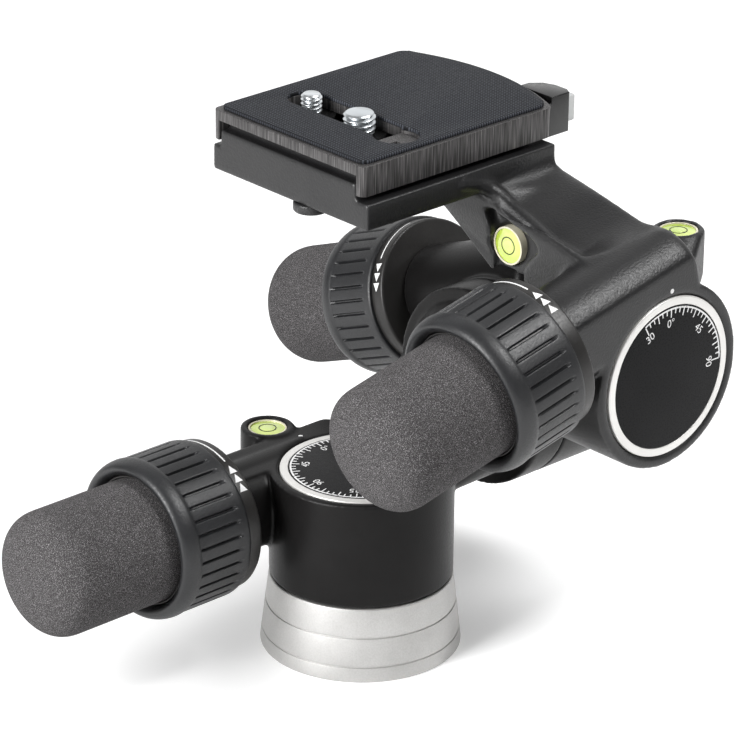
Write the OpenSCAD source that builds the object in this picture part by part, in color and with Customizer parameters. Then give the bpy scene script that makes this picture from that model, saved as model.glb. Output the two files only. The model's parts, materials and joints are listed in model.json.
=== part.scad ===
// Geared tripod head: three worm drives stacked on a foot, a platform and a camera plate.
// Millimetres, Z up, origin at the centre of the foot's underside, on the pan axis.
// X is the side (pitch) axis, Y is the top (roll) axis.

/* [Foot] */
// Radius of the foot where it stands
foot_r = 30; // [28:0.5:36]
// Height of the foot up to the pan housing
foot_h = 22.7; // [20:0.1:26]
// Width of the two turned grooves in the foot
groove_w = 0.8; // [0.4:0.1:1.5]
// Depth of the turned grooves
groove_d = 0.6; // [0.2:0.1:1]
// Height of the lower groove
groove_low_z = 4.5; // [3:0.1:7]
// Height of the upper groove
groove_high_z = 13.5; // [11:0.1:17]
// Major diameter of the tripod thread
tripod_thread_d = 9.525; // [9.525:0.001:9.525]
// Depth of the tripod thread
tripod_thread_depth = 11; // [9:0.5:12]
// Outer radius of the threaded insert
insert_r = 8; // [7:0.5:9]

/* [Drums] */
// Radius of the pan drum
pan_drum_r = 27.3; // [26.5:0.1:28]
// Radius of the top drum around its dial
top_drum_r = 28; // [27:0.1:29.5]
// Radius of the side drum and of the flange that carries it
side_drum_r = 30.5; // [29:0.1:31]
// Radius of the fine scales
scale_r = 24.2; // [23:0.1:24.8]
// Width of the bright ring around each scale
scale_ring_w = 2.5; // [1.5:0.1:3.5]
// Thickness of a scale disc
scale_t = 1.8; // [1.2:0.1:2.4]

/* [Worm drive] */
// Number of teeth on a worm wheel
wheel_teeth = 48; // [48:1:48]
// Pitch radius of a worm wheel
wheel_pitch_r = 18; // [17.5:0.1:18.4]
// Width of a worm wheel
wheel_w = 7; // [5:0.5:8]
// Pitch radius of a worm
worm_pitch_r = 6.5; // [6.2:0.1:7]
// Length of a worm
worm_len = 12; // [10:0.5:14]
// Radius of a worm shaft
shaft_r = 3.5; // [3:0.1:4]
// Radius of the three spindles
spindle_r = 8; // [7:0.1:9]
// Wall of the spindle bushes
bush_wall = 2.5; // [1.5:0.1:3]
// Radius of the worm barrels
barrel_r = 14.5; // [13.5:0.1:15]
// Distance from the middle of the wheel to the face of its scale
scale_rise = 12; // [11:0.1:13]

/* [Knobs] */
// Distance from the middle of the worm to the back of the collar
collar_start = 37; // [36:0.1:39]
// Length of a collar
collar_len = 30; // [28:0.5:31]
// Outer radius of a collar's rubber grip
collar_r = 24.2; // [23.5:0.1:24.6]
// Width of the plain marked ring behind the grip
mark_ring_w = 4.9; // [3:0.1:6]
// Number of grooves in a collar's grip
grip_grooves = 36; // [24:1:40]
// Radius of a foam grip
foam_r = 18.7; // [17.5:0.1:19]
// Wall of the foam grip
foam_wall = 4.5; // [3:0.1:6]
// Reach of the foam grip past the collar
foam_reach = 39; // [34:0.5:44]
// Rounding of the foam grip's end
foam_round = 9; // [4:0.5:12]

/* [Layout] */
// Height of the pan worm wheel
pan_wheel_z = 43.8; // [43.5:0.1:45]
// Height of the side axis
side_axis_z = 68.5; // [68:0.1:70]
// Distance of the side worm wheel from the pan axis
side_wheel_x = 72; // [71.5:0.1:72.5]
// Distance from the pan axis to the joint between the flange and the side housing
side_split_x = 55; // [54:0.1:55.5]
// Thickness of the flange that carries the side axis
flange_t = 11; // [9:0.5:13]
// Downward slope of the side knob in degrees
side_slope = 21.5; // [20:0.5:23]
// Distance of the top axis from the pan axis
top_axis_x = 52.3; // [52:0.1:53]
// Height of the top axis
top_axis_z = 93.2; // [93:0.1:94]
// Distance of the top worm wheel from the pan axis
top_wheel_y = 60; // [59.5:0.1:62]
// Length of the top drum behind its wheel
top_back = 20; // [18:0.5:21]
// Downward slope of the top knob in degrees
top_slope = 12; // [10:0.5:14]

/* [Platform and plate] */
// Length of the camera plate without its rounded end
plate_l = 74.6; // [72:0.1:78]
// Width of the camera plate
plate_w = 64.6; // [62:0.1:66]
// Bulge of the rounded end of the plate
plate_bulge = 7.7; // [5:0.1:9]
// Distance of the plate's middle from the pan axis along X
plate_x = 25; // [24:0.1:27]
// Distance of the plate's middle from the pan axis along Y
plate_y = 19.7; // [19:0.1:21]
// Height of the plate's top face
plate_top_z = 156; // [155:0.1:158]
// Thickness of the plate
plate_t = 3; // [2.5:0.1:4]
// Height of the plate's side lips, with the plate
lip_h = 9; // [8:0.1:9.5]
// Thickness of the plate's side lips
lip_t = 3; // [2.5:0.1:4]
// Thickness of the platform's lower flange
platform_t = 7.9; // [7:0.1:9]
// Gap under the plate's side lips
lip_room = 1.7; // [1:0.1:2.5]
// Gap under the open end of the plate
end_room = 2.8; // [2:0.1:4]
// Thickness of the rubber pad above the plate
pad_t = 1.2; // [0.8:0.1:2]
// Inset of the rubber pad from the plate's edge
pad_inset = 1.6; // [1:0.1:3]
// Width of the screw slot
slot_w = 11.3; // [11.2:0.1:11.8]
// Distance of the screw slot from the pan axis along X
slot_x = 11.9; // [10:0.1:14]
// Major diameter of the small camera thread
small_thread_d = 6.35; // [6.35:0.001:6.35]
// Major diameter of the large camera thread
large_thread_d = 9.525; // [9.525:0.001:9.525]
// Height of the camera threads above the pad
screw_rise = 2; // [1:0.1:5]

/* [Levels] */
// Radius of the bubble vials
vial_r = 5.8; // [5:0.1:6.4]
// Height of the bubble vials
vial_h = 5; // [4:0.1:6]
// Wall around a vial
vial_wall = 2; // [1.5:0.1:2.5]

/* [Fits] */
// Gap between faces that turn past each other
turn_gap = 0.3; // [0.2:0.05:0.5]
// Radial clearance of a running shaft
run_gap = 0.05; // [0.02:0.01:0.09]
// Radial clearance of pieces that are fixed together
seat_gap = 0.02; // [0.01:0.01:0.05]

/* [Hidden] */
$fn = 96;
eps = 0.01;
over = 1;
black = "#1c1c1e";
silver = "#c9cbcc";
steel = "#9a9c9f";
bronze = "#b08d4a";
core_black = "#202022";
rubber_black = "#18181a";
foam_grey = "#3c3c3e";
dial_black = "#141415";
level_green = "#c8d848";

// Worm gearing
worm_offset = wheel_pitch_r + worm_pitch_r;
lead = 2 * PI * wheel_pitch_r / wheel_teeth;
tooth_out = 0.28 * lead;
tooth_in = 0.36 * lead;
tooth_pitch_w = 0.36 * lead;
worm_core_r = worm_pitch_r - tooth_in;
worm_steps_turn = 18;
worm_steps_lead = 8;
gear_room = 0.5;
chamber_r = wheel_pitch_r + tooth_out + gear_room;
chamber_back = wheel_w / 2 + turn_gap;
nut_t = 4;
nut_wall = 5;
nut_r = spindle_r + nut_wall;
shaft_room = 1.5;
pan_root = 8;
top_root = 6.5;
disc_seat = scale_rise - scale_t;
worm_room_r = worm_pitch_r + tooth_out + gear_room;
worm_bush_len = 4.5;
wheel_tip_r = wheel_pitch_r + tooth_out;
worm_bush_in = sqrt(pow(wheel_tip_r, 2) - pow(worm_offset - worm_room_r - turn_gap, 2));
barrel_wall = 4.2;
barrel_back = worm_bush_in + worm_bush_len + barrel_wall;
barrel_round = 4;

// Knob and collar
snout_step = 2;
snout_r = barrel_r - snout_step;
snout_len = 9;
web_t = 3.6;
collar_back = collar_start + turn_gap;
collar_end = collar_start + collar_len;
grip_wall = 2.2;
lip_round = 3.4;
rib_d = 1;
rib_w = 1.1;
rib_start = 3;
rib_stop = 6;
mark_step = 0.8;
grip_step = 0.8;
grip_lead = 2.5;
foam_depth = 9;
hub_r = collar_r - grip_wall;
mouth_gap = 1;
mouth_r = foam_r + mouth_gap;
clip_t = 1.6;
clip_wall = 2;
clip_r = snout_r + clip_wall;
foam_start = collar_end - foam_depth;
foam_end = collar_end + foam_reach;
core_r = foam_r - foam_wall;
core_hub_wall = 3;
core_hub_r = shaft_r + core_hub_wall;

// Depth of each housing behind its wheel
pan_back = pan_wheel_z - foot_h - turn_gap;
side_back = side_wheel_x - side_split_x - turn_gap;
arm_step = 4;
arm_drop_r = side_drum_r - arm_step;
arm_w = 18;
arm_x = 12;
arm_low = 6;
arm_high = 3;
dial_edge = 1.5;
pan_boss_h = 8;

// Platform and plate
plate_bottom_z = plate_top_z - plate_t;
lip_bottom_z = plate_top_z - lip_h;
flange_top_z = lip_bottom_z - lip_room;
platform_z = flange_top_z - platform_t;
plate_x0 = plate_x - plate_l / 2;
plate_x1 = plate_x + plate_l / 2;
plate_y0 = plate_y - plate_w / 2;
plate_y1 = plate_y + plate_w / 2;
bulge_r = (pow(plate_w / 2, 2) + pow(plate_bulge, 2)) / (2 * plate_bulge);
flange_over = 2;
block_w = plate_w - 2 * lip_t - 2 * turn_gap;
block_short = 6;
block_x1 = plate_x1 - block_short;
shelf_l = 3.5;

// Camera screws, their slot and the room under it
slot_front_share = 0.263;
slot_back_share = 0.3715;
stud_share = 0.325;
small_share = 0.2523;
large_share = 0.0666;
room_end = 2.6;
room_side = 0.7;
room_under = 2;
stud_shift = 1;
slot_y0 = plate_y - slot_front_share * plate_w;
slot_y1 = plate_y + slot_back_share * plate_w;
stud_x = slot_x - stud_shift;
stud_y = plate_y - stud_share * plate_w;
stud_r = 6.8;
stud_recess = 0.8;
small_screw_y = plate_y + small_share * plate_w;
large_screw_y = plate_y - large_share * plate_w;
washer_t = 1.2;
small_washer_r = 7.2;
large_washer_r = 8;
head_t = 2.4;
head_r = 6.6;
undercut = 0.8;
room_w = 2 * (large_washer_r + room_side);
room_y0 = stud_y;
room_y1 = slot_y1 + room_end;
room_z = plate_bottom_z - washer_t - head_t - room_under;

// Neck and levels
neck_x0 = 36.5;
neck_x1 = 64;
neck_pocket_d = 2.4;
neck_pocket = [[-12.8, 132.1], [-17, 132.8], [-35, 129], [-37.5, 126.8], [-29.5, 118.5], [-26, 105],
    [-15.6, 105], [-15.6, 127], [-14.3, 129.7]];
neck_wall_in = 0.3;
neck_wall_t = 3.8;
neck_wall = [[13, 131], [-10, 135], [-29, 122], [-29, 112], [-14.5, 112.6]];
neck_root_y = 26;
neck_root_t = 7;
neck_low_s = 13.5;
neck_high_s = 13;
wall_room = 6.5;
wall_room_r = wheel_pitch_r + wall_room;
drum_room = 17;
drum_room_r = wheel_pitch_r + drum_room;
barrel_room_y = -13.5;
drum_room_x = 48;
barrel_room_x = neck_x0 + neck_wall_in + neck_wall_t;
thin_wall_y = -6;
thin_wall_t = 1.7;
neck_rooms = [[drum_room_x, -side_drum_r - over], [barrel_room_x, barrel_room_y],
    [neck_x0 + thin_wall_t, thin_wall_y]];
casing_h = 4;
casing_l = 12;
casing_in = 0.8;
casing_back = barrel_back - 1.2;
boss_wall = 7.5;
boss_r = spindle_r + bush_wall + boss_wall;
boss_t = 8.2;
web_t_front = 12;
web_h_front = 18;
web_drop = 10;
web_t_root = 16;
web_l_root = 8;
web_h_root = 20;
web_rise = 6;
vial_boss_r = vial_r + vial_wall;
level_boss_h = 14;
level_boss_drop = 22.4;
pan_level_x = -2.5;
pan_level_out = 14.5;
pan_level_y = worm_offset + pan_level_out;
neck_vial_in = 0.8;
neck_vial_x = neck_x0 + neck_vial_in;
neck_vial_y = -20.6;
neck_vial_z = 121.8;
top_level_out = 33;
top_level_back = 17;
top_level_x = top_axis_x + top_level_out;
top_level_y = -top_wheel_y + top_level_back;
top_level_z = 121;

// Clamp lever beside the rounded end of the platform
lever_out = 6.4;
lever_back = 8.3;
lever_x = plate_x1 + lever_out;
lever_y = plate_y + lever_back;
lever_hub_r = 5.6;
lever_pin_r = 2.5;
lever_pin_in = 1;
lever_pin_z = platform_z + lever_pin_in;
lever_top_z = plate_bottom_z - turn_gap;
lever_h = 10.2;
lever_z = lever_top_z - lever_h;
lever_tip_out = 16.8;
lever_tip_front = 23.9;
lever_tip_x = plate_x1 + lever_tip_out;
lever_tip_y = plate_y - lever_tip_front;
lever_half = 4.5;
lever_neck = 18.5;
lever_bend = 21.2;
lever_thumb = 25;
lever_tip_w = 11.5;
lever_neck_in = 4.8;
lever_bend_in = 1.5;
tip_cut_x = 1.3;
tip_cut_y = 2.2;
thumb_l = 8.6;
thumb_h = 12.3;
thumb_edge = [[lever_tip_x - lever_neck_in, lever_y - lever_neck],
    [lever_tip_x - lever_bend_in, lever_y - lever_bend], [lever_tip_x, lever_y - lever_thumb],
    [lever_tip_x, lever_tip_y + tip_cut_y],
    [lever_tip_x - tip_cut_x, lever_tip_y]];
lever_outline = concat([[lever_x - lever_half, lever_y], [lever_x + lever_half, lever_y]], thumb_edge,
    [[lever_tip_x - lever_tip_w, lever_tip_y], [lever_x - lever_half, lever_y - lever_neck]]);
thumb_outline = concat([[lever_tip_x - thumb_l, lever_y - lever_neck]], thumb_edge,
    [[lever_tip_x - thumb_l, lever_tip_y]]);
catch_l = 4.6;
catch_h = 8.2;
catch_out = 3;
catch_in = 3;
catch_room = 1.8;
catch_y = 1.6;
foot_screw_in = 4.5;
foot_screw_front = 5.5;
foot_screw_x = plate_x0 + foot_screw_in;
foot_screw_y = plate_y - foot_screw_front;
foot_screw_r = 5.2;
foot_screw_h = 2.9;
foot_screw_stem = 2.5;

// Local frame of a drive: the wheel turns about Z, the knob points along minus X at Y = worm_offset
function frame(x, y, z, o) =
    [[x[0], y[0], z[0], o[0]], [x[1], y[1], z[1], o[1]], [x[2], y[2], z[2], o[2]], [0, 0, 0, 1]];
module pan_frame() translate([0, 0, pan_wheel_z]) children();
module side_frame()
    multmatrix(frame([0, -cos(side_slope), sin(side_slope)], [0, sin(side_slope), cos(side_slope)], [1, 0, 0],
        [side_wheel_x, 0, side_axis_z])) children();
module top_frame()
    multmatrix(frame([cos(top_slope), 0, sin(top_slope)], [-sin(top_slope), 0, cos(top_slope)], [0, -1, 0],
        [top_axis_x, -top_wheel_y, top_axis_z])) children();
module along_knob() translate([0, worm_offset, 0]) rotate([0, -90, 0]) children();

module ring(r_out, r_in, h) {
    difference() {
        cylinder(r = r_out, h = h);
        translate([0, 0, -eps]) cylinder(r = r_in, h = h + 2 * eps);
    }
}
module turned(points) rotate_extrude() polygon(points);

// Shared pieces of a drive
module wheel_blank() {
    tip = tooth_pitch_w * 0.7;
    root = tooth_pitch_w * 1.35;
    root_r = wheel_pitch_r - tooth_in;
    tip_r = wheel_pitch_r + tooth_out;
    step = 360 / wheel_teeth;
    points = [for (k = [0 : wheel_teeth - 1]) let (a = 90 + (k + 0.5) * step)
        for (p = [[root_r, -root], [tip_r, -tip], [tip_r, tip], [root_r, root]])
            let (t = a + p[1] / 2 / p[0] * 180 / PI) [p[0] * cos(t), p[0] * sin(t)]];
    polygon(points);
}
module worm_wheel() {
    difference() {
        translate([0, 0, -wheel_w / 2]) linear_extrude(wheel_w) wheel_blank();
        translate([0, 0, -wheel_w]) cylinder(r = spindle_r + seat_gap, h = 2 * wheel_w);
    }
}
function thread_r(phase) = let (u = abs(phase - round(phase)))
    worm_core_r + (tooth_in + tooth_out) * min(1, max(0, (0.25 - u) / 0.14));
module worm() {
    rows = floor(worm_len / lead * worm_steps_lead);
    n = worm_steps_turn;
    bore = (shaft_r + seat_gap) / cos(180 / n);
    outer = [for (j = [0 : rows]) let (z = (j / rows - 0.5) * worm_len) for (i = [0 : n - 1])
        let (a = 360 * i / n, r = thread_r(z / lead - a / 360)) [r * sin(a), -r * cos(a), z]];
    inner = [for (z = [-worm_len / 2, worm_len / 2]) for (i = [0 : n - 1])
        let (a = 360 * i / n) [bore * sin(a), -bore * cos(a), z]];
    base = n * (rows + 1);
    sides = [for (j = [0 : rows - 1]) for (i = [0 : n - 1]) let (k = (i + 1) % n)
        for (f = [[j * n + i, (j + 1) * n + k, j * n + k], [j * n + i, (j + 1) * n + i, (j + 1) * n + k]]) f];
    bores = [for (i = [0 : n - 1]) let (k = (i + 1) % n)
        for (f = [[base + i, base + k, base + n + k], [base + i, base + n + k, base + n + i]]) f];
    ends = [for (i = [0 : n - 1]) let (k = (i + 1) % n, t = rows * n)
        for (f = [[i, k, base + k], [i, base + k, base + i],
            [t + i, base + n + k, t + k], [t + i, base + n + i, base + n + k]]) f];
    along_knob() polyhedron(concat(outer, inner), concat(sides, bores, ends));
}
module worm_shaft() {
    shaft_back = worm_bush_in + worm_bush_len;
    along_knob() translate([0, 0, -shaft_back]) cylinder(r = shaft_r, h = shaft_back + foam_end - foam_wall);
}
module worm_bushes() {
    along_knob() for (z = [-worm_bush_in - worm_bush_len, collar_start - worm_bush_len])
        translate([0, 0, z]) ring(worm_room_r - seat_gap, shaft_r + run_gap, worm_bush_len);
}
module knob_core() {
    hub_z = collar_start + snout_len + over;
    along_knob() turned([[shaft_r + seat_gap, hub_z], [core_hub_r, hub_z], [core_hub_r, foam_start],
        [core_r, foam_start], [core_r, foam_end - foam_wall], [shaft_r + seat_gap, foam_end - foam_wall]]);
}
module foam_grip() {
    ro = foam_r;
    arc = [for (a = [0 : 10 : 90])
        [ro - foam_round + foam_round * cos(a), foam_end - foam_round + foam_round * sin(a)]];
    along_knob() turned(concat([[core_r + seat_gap, foam_start], [ro, foam_start]], arc,
        [[0, foam_end], [0, foam_end - foam_wall + seat_gap],
        [core_r + seat_gap, foam_end - foam_wall + seat_gap]]));
}
module collar() {
    z0 = collar_back;
    mark_r = hub_r + mark_step;
    along_knob() turned([[snout_r + run_gap, z0], [mark_r, z0], [mark_r, z0 + mark_ring_w],
        [hub_r, z0 + mark_ring_w], [hub_r, collar_end - lip_round], [mouth_r, collar_end - lip_round],
        [mouth_r, z0 + web_t], [snout_r + run_gap, z0 + web_t]]);
}
module collar_grip() {
    z0 = collar_back + mark_ring_w;
    lip = grip_wall + (hub_r - mouth_r);
    lip_arc = [for (a = [0 : 15 : 180])
        [mouth_r + lip / 2 + lip / 2 * cos(a), collar_end - lip_round + lip_round * sin(a)]];
    along_knob() difference() {
        turned(concat([[hub_r + seat_gap, z0], [collar_r - grip_step, z0], [collar_r, z0 + grip_lead]],
            lip_arc,
            [[mouth_r, collar_end - lip_round + eps], [hub_r + seat_gap, collar_end - lip_round + eps]]));
        for (k = [0 : grip_grooves - 1]) rotate(360 * k / grip_grooves)
            translate([collar_r - rib_d, -rib_w / 2, z0 + rib_start])
                cube([2 * rib_d, rib_w, collar_end - z0 - rib_start - rib_stop]);
    }
}
module collar_clip() {
    along_knob() translate([0, 0, collar_back + web_t + turn_gap]) ring(clip_r, snout_r + seat_gap, clip_t);
}
module spindle(root) translate([0, 0, -root]) cylinder(r = spindle_r, h = root + disc_seat);
module spindle_bush(back) {
    translate([0, 0, -back]) ring(spindle_r + bush_wall - seat_gap, spindle_r + run_gap, back - chamber_back);
}
module lock_nut() {
    difference() {
        translate([0, 0, wheel_w / 2]) cylinder(r = nut_r, h = nut_t, $fn = 6);
        cylinder(r = spindle_r + seat_gap, h = scale_rise);
    }
}
module scale_disc() {
    disc_r = scale_r - scale_ring_w;
    translate([0, 0, disc_seat]) cylinder(r = disc_r, h = scale_t);
}
module scale_ring() {
    translate([0, 0, disc_seat]) ring(scale_r, scale_r - scale_ring_w + seat_gap, scale_t);
}
module dial_clearance(reach) {
    translate([-reach, -reach, scale_rise]) cube([2 * reach, 2 * reach, barrel_r]);
}
module drive_barrel() {
    back_arc = [for (a = [0 : 15 : 90])
        [barrel_r + barrel_round * (sin(a) - 1), barrel_round * (1 - cos(a)) - barrel_back]];
    difference() {
        along_knob()
            turned(concat([[0, -barrel_back]], back_arc, [[barrel_r, collar_start], [0, collar_start]]));
        dial_clearance(collar_end);
    }
    along_knob() cylinder(r = snout_r, h = collar_start + snout_len);
}
module drive_room(back) {
    translate([0, 0, -back - over]) cylinder(r = spindle_r + bush_wall, h = back + scale_rise);
    translate([0, 0, -chamber_back]) cylinder(r = chamber_r, h = chamber_back + disc_seat + eps);
    translate([0, 0, disc_seat - turn_gap]) cylinder(r = scale_r + turn_gap, h = 2 * scale_t);
    along_knob() translate([0, 0, -worm_bush_in - worm_bush_len])
        cylinder(r = worm_room_r, h = worm_bush_in + worm_bush_len + collar_start);
    along_knob() cylinder(r = shaft_r + shaft_room, h = collar_start + snout_len + over);
}
module vial() {
    cylinder(r = vial_r, h = vial_h);
}

// Foot and the pieces fixed to it
module foot() {
    taper = (foot_r - pan_drum_r) / foot_h;
    spindle_z = pan_wheel_z - pan_back - pan_root;
    color(silver) difference() {
        cylinder(r1 = foot_r, r2 = pan_drum_r, h = foot_h);
        for (z = [groove_low_z, groove_high_z]) translate([0, 0, z])
            ring(foot_r + over, foot_r - taper * z - groove_d, groove_w);
        translate([0, 0, -eps]) cylinder(r = insert_r, h = tripod_thread_depth + eps);
        translate([0, 0, spindle_z]) cylinder(r = spindle_r + seat_gap, h = foot_h);
    }
}
module thread_insert() {
    color("#8d8f92") ring(insert_r - seat_gap, tripod_thread_d / 2, tripod_thread_depth);
}
module pan_spindle() color(steel) pan_frame() spindle(pan_back + pan_root);
module pan_worm_wheel() color(bronze) pan_frame() worm_wheel();
module pan_lock_nut() color(steel) pan_frame() lock_nut();
module pan_scale() color(dial_black) pan_frame() scale_disc();
module pan_scale_ring() color(silver) pan_frame() scale_ring();

// Pan housing with the arm and flange of the side axis
module pan_housing() {
    arm_z = side_axis_z - arm_drop_r + arm_low;
    arm_top = pan_wheel_z + scale_rise - arm_high;
    color(black) difference() {
        union() {
            translate([0, 0, foot_h + turn_gap])
                cylinder(r = pan_drum_r, h = pan_wheel_z + scale_rise - foot_h - turn_gap);
            pan_frame() drive_barrel();
            hull() {
                translate([pan_level_x, pan_level_y, pan_wheel_z])
                    cylinder(r = vial_boss_r, h = scale_rise, $fn = 32);
                translate([pan_level_x, worm_offset, pan_wheel_z])
                    cylinder(r = vial_boss_r, h = pan_boss_h, $fn = 32);
            }
            translate([side_split_x - flange_t, 0, side_axis_z]) rotate([0, 90, 0])
                cylinder(r = side_drum_r, h = flange_t);
            hull() {
                translate([side_split_x - flange_t, 0, side_axis_z]) rotate([0, 90, 0])
                    cylinder(r = arm_drop_r, h = over, $fn = 32);
                translate([arm_x, -arm_w, arm_z]) cube([over, 2 * arm_w, arm_top - arm_z]);
            }
        }
        pan_frame() drive_room(pan_back);
        translate([pan_level_x, pan_level_y, pan_wheel_z + scale_rise - vial_h])
            cylinder(r = vial_r + seat_gap, h = 2 * vial_h);
        translate([side_split_x - flange_t, 0, side_axis_z]) rotate([0, 90, 0])
            cylinder(r = spindle_r + seat_gap, h = 2 * flange_t);
        translate([0, 0, pan_wheel_z + scale_rise]) cylinder(r = pan_drum_r - dial_edge, h = side_axis_z);
    }
}
module pan_bush() color(bronze) pan_frame() spindle_bush(pan_back);
module pan_worm_bushes() color(bronze) pan_frame() worm_bushes();
module pan_collar_clip() color(steel) pan_frame() collar_clip();
module pan_level() {
    color(level_green) translate([pan_level_x, pan_level_y, pan_wheel_z + scale_rise - vial_h]) vial();
}
module side_spindle() color(steel) side_frame() spindle(side_wheel_x - side_split_x + flange_t);
module side_worm_wheel() color(bronze) side_frame() worm_wheel();
module side_lock_nut() color(steel) side_frame() lock_nut();
module side_scale() color(dial_black) side_frame() scale_disc();
module side_scale_ring() color(silver) side_frame() scale_ring();

// Pan knob and collar
module pan_worm() color(steel) pan_frame() worm();
module pan_worm_shaft() color(steel) pan_frame() worm_shaft();
module pan_knob_core() color(core_black) pan_frame() knob_core();
module pan_foam_grip() color(foam_grey) pan_frame() foam_grip();
module pan_collar() color(core_black) pan_frame() collar();
module pan_collar_grip() color(rubber_black) pan_frame() collar_grip();

// Side housing: drum about the side axis, and the boss that carries the top axis
module side_housing() {
    boss_y = -top_wheel_y + top_back;
    color(black) difference() {
        union() {
            side_frame() translate([0, 0, -side_back]) cylinder(r = side_drum_r, h = side_back + scale_rise);
            side_frame() drive_barrel();
            translate([top_axis_x, boss_y + turn_gap, top_axis_z]) rotate([-90, 0, 0])
                cylinder(r = boss_r, h = boss_t);
            hull() {
                translate([side_split_x + over, boss_y + turn_gap, top_axis_z - web_drop])
                    cube([web_t_front, over, web_h_front]);
                translate([side_split_x + over, -web_l_root, side_axis_z + web_rise])
                    cube([web_t_root, web_l_root, web_h_root]);
            }
        }
        side_frame() drive_room(side_back);
        translate([top_axis_x, boss_y, top_axis_z]) rotate([-90, 0, 0])
            cylinder(r = spindle_r + seat_gap, h = boss_t - over);
    }
}
module side_bush() color(bronze) side_frame() spindle_bush(side_back);
module side_worm_bushes() color(bronze) side_frame() worm_bushes();
module side_collar_clip() color(steel) side_frame() collar_clip();
module top_spindle() color(steel) top_frame() spindle(top_back + top_root);
module top_worm_wheel() color(bronze) top_frame() worm_wheel();
module top_lock_nut() color(steel) top_frame() lock_nut();
module top_scale() color(dial_black) top_frame() scale_disc();
module top_scale_ring() color(silver) top_frame() scale_ring();

// Side knob and collar
module side_worm() color(steel) side_frame() worm();
module side_worm_shaft() color(steel) side_frame() worm_shaft();
module side_knob_core() color(core_black) side_frame() knob_core();
module side_foam_grip() color(foam_grey) side_frame() foam_grip();
module side_collar() color(core_black) side_frame() collar();
module side_collar_grip() color(rubber_black) side_frame() collar_grip();

// Top housing: dial drum, neck and platform
module platform() {
    block_y = plate_y - block_w / 2;
    translate([plate_x0, plate_y0 - flange_over, platform_z])
        cube([plate_l, plate_w + flange_over, platform_t]);
    translate([plate_x0, block_y, platform_z])
        cube([block_x1 - plate_x0, block_w, plate_bottom_z - end_room - platform_z]);
    translate([plate_x0 + shelf_l, block_y, platform_z])
        cube([block_x1 - plate_x0 - shelf_l, block_w, plate_bottom_z - seat_gap - platform_z]);
    translate([lever_x, lever_y, platform_z]) cylinder(r = lever_hub_r, h = lever_z - turn_gap - platform_z);
    translate([plate_x1 - over, lever_y - lever_hub_r, platform_z])
        cube([lever_x - plate_x1 + over, 2 * lever_hub_r, lever_z - turn_gap - platform_z]);
}
module neck() {
    difference() {
        union() {
            hull() {
                translate([neck_x0, plate_y0, platform_z - neck_root_t])
                    cube([neck_x1 - neck_x0, neck_root_y, neck_root_t + over]);
                top_frame() along_knob() translate([0, 0, -neck_high_s])
                    cylinder(r = barrel_r - casing_in / 4, h = neck_high_s + neck_low_s, $fn = 32);
            }
            translate([neck_x0 + neck_wall_in, 0, 0]) rotate([90, 0, 90])
                linear_extrude(neck_wall_t) polygon(neck_wall);
        }
        translate([neck_x0 - barrel_r, 0, 0]) rotate([90, 0, 90])
            linear_extrude(barrel_r + neck_pocket_d) polygon(neck_pocket);
        translate([top_axis_x, -top_wheel_y + top_back, top_axis_z]) rotate([-90, 0, 0])
            cylinder(r = boss_r + over, h = plate_w);
        translate([top_axis_x, -side_drum_r - over, top_axis_z]) rotate([-90, 0, 0])
            cylinder(r = wall_room_r, h = plate_w);
        for (room = neck_rooms)
            intersection() {
                translate([top_axis_x, room.y, top_axis_z]) rotate([-90, 0, 0])
                    cylinder(r = drum_room_r, h = plate_w);
                translate([room.x, room.y - over, 0]) cube([plate_l, 2 * plate_w, plate_top_z]);
            }
    }
    translate([neck_x0 + neck_pocket_d, neck_vial_y, neck_vial_z]) rotate([0, 90, 0])
        cylinder(r = vial_boss_r, h = vial_h);
}
module top_housing() {
    color(black) difference() {
        union() {
            top_frame() translate([0, 0, -top_back]) cylinder(r = top_drum_r, h = top_back + scale_rise);
            top_frame() drive_barrel();
            hull() top_frame() {
                translate([0, 0, casing_in - top_back])
                    cylinder(r = top_drum_r - casing_in, h = top_back - casing_in + casing_h, $fn = 32);
                along_knob() translate([0, 0, barrel_round - casing_back])
                    cylinder(r = barrel_r - casing_in, h = casing_back - barrel_round + casing_l, $fn = 32);
                along_knob() translate([0, 0, -casing_back])
                    cylinder(r = barrel_r - barrel_round, h = casing_back, $fn = 32);
            }
            platform();
            neck();
            hull() {
                translate([top_level_x, top_level_y, top_level_z - level_boss_h])
                    cylinder(r = vial_boss_r, h = level_boss_h, $fn = 32);
                translate([top_level_x - level_boss_h, top_level_y - vial_boss_r,
                    top_level_z - level_boss_drop]) cylinder(r = vial_boss_r, h = level_boss_h, $fn = 32);
            }
        }
        top_frame() drive_room(top_back);
        top_frame() dial_clearance(collar_start);
        translate([neck_x0 - over, neck_vial_y, neck_vial_z]) rotate([0, 90, 0])
            cylinder(r = vial_r + seat_gap, h = vial_h + neck_vial_in + over);
        translate([top_level_x, top_level_y, top_level_z - vial_h])
            cylinder(r = vial_r + seat_gap, h = 2 * vial_h);
        translate([slot_x - room_w / 2, room_y0, room_z])
            cube([room_w, room_y1 - room_y0, plate_top_z - room_z]);
        translate([lever_x, lever_y, lever_pin_z])
            cylinder(r = lever_pin_r + seat_gap, h = platform_t + lever_h);
        translate([foot_screw_x, foot_screw_y, platform_z - eps])
            cylinder(r = foot_screw_stem + seat_gap, h = platform_t / 2 + eps);
    }
}
module top_bush() color(bronze) top_frame() spindle_bush(top_back);
module top_worm_bushes() color(bronze) top_frame() worm_bushes();
module top_collar_clip() color(steel) top_frame() collar_clip();
module neck_level() {
    color(level_green) translate([neck_vial_x, neck_vial_y, neck_vial_z]) rotate([0, 90, 0]) vial();
}
module top_level() color(level_green) translate([top_level_x, top_level_y, top_level_z - vial_h]) vial();

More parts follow.
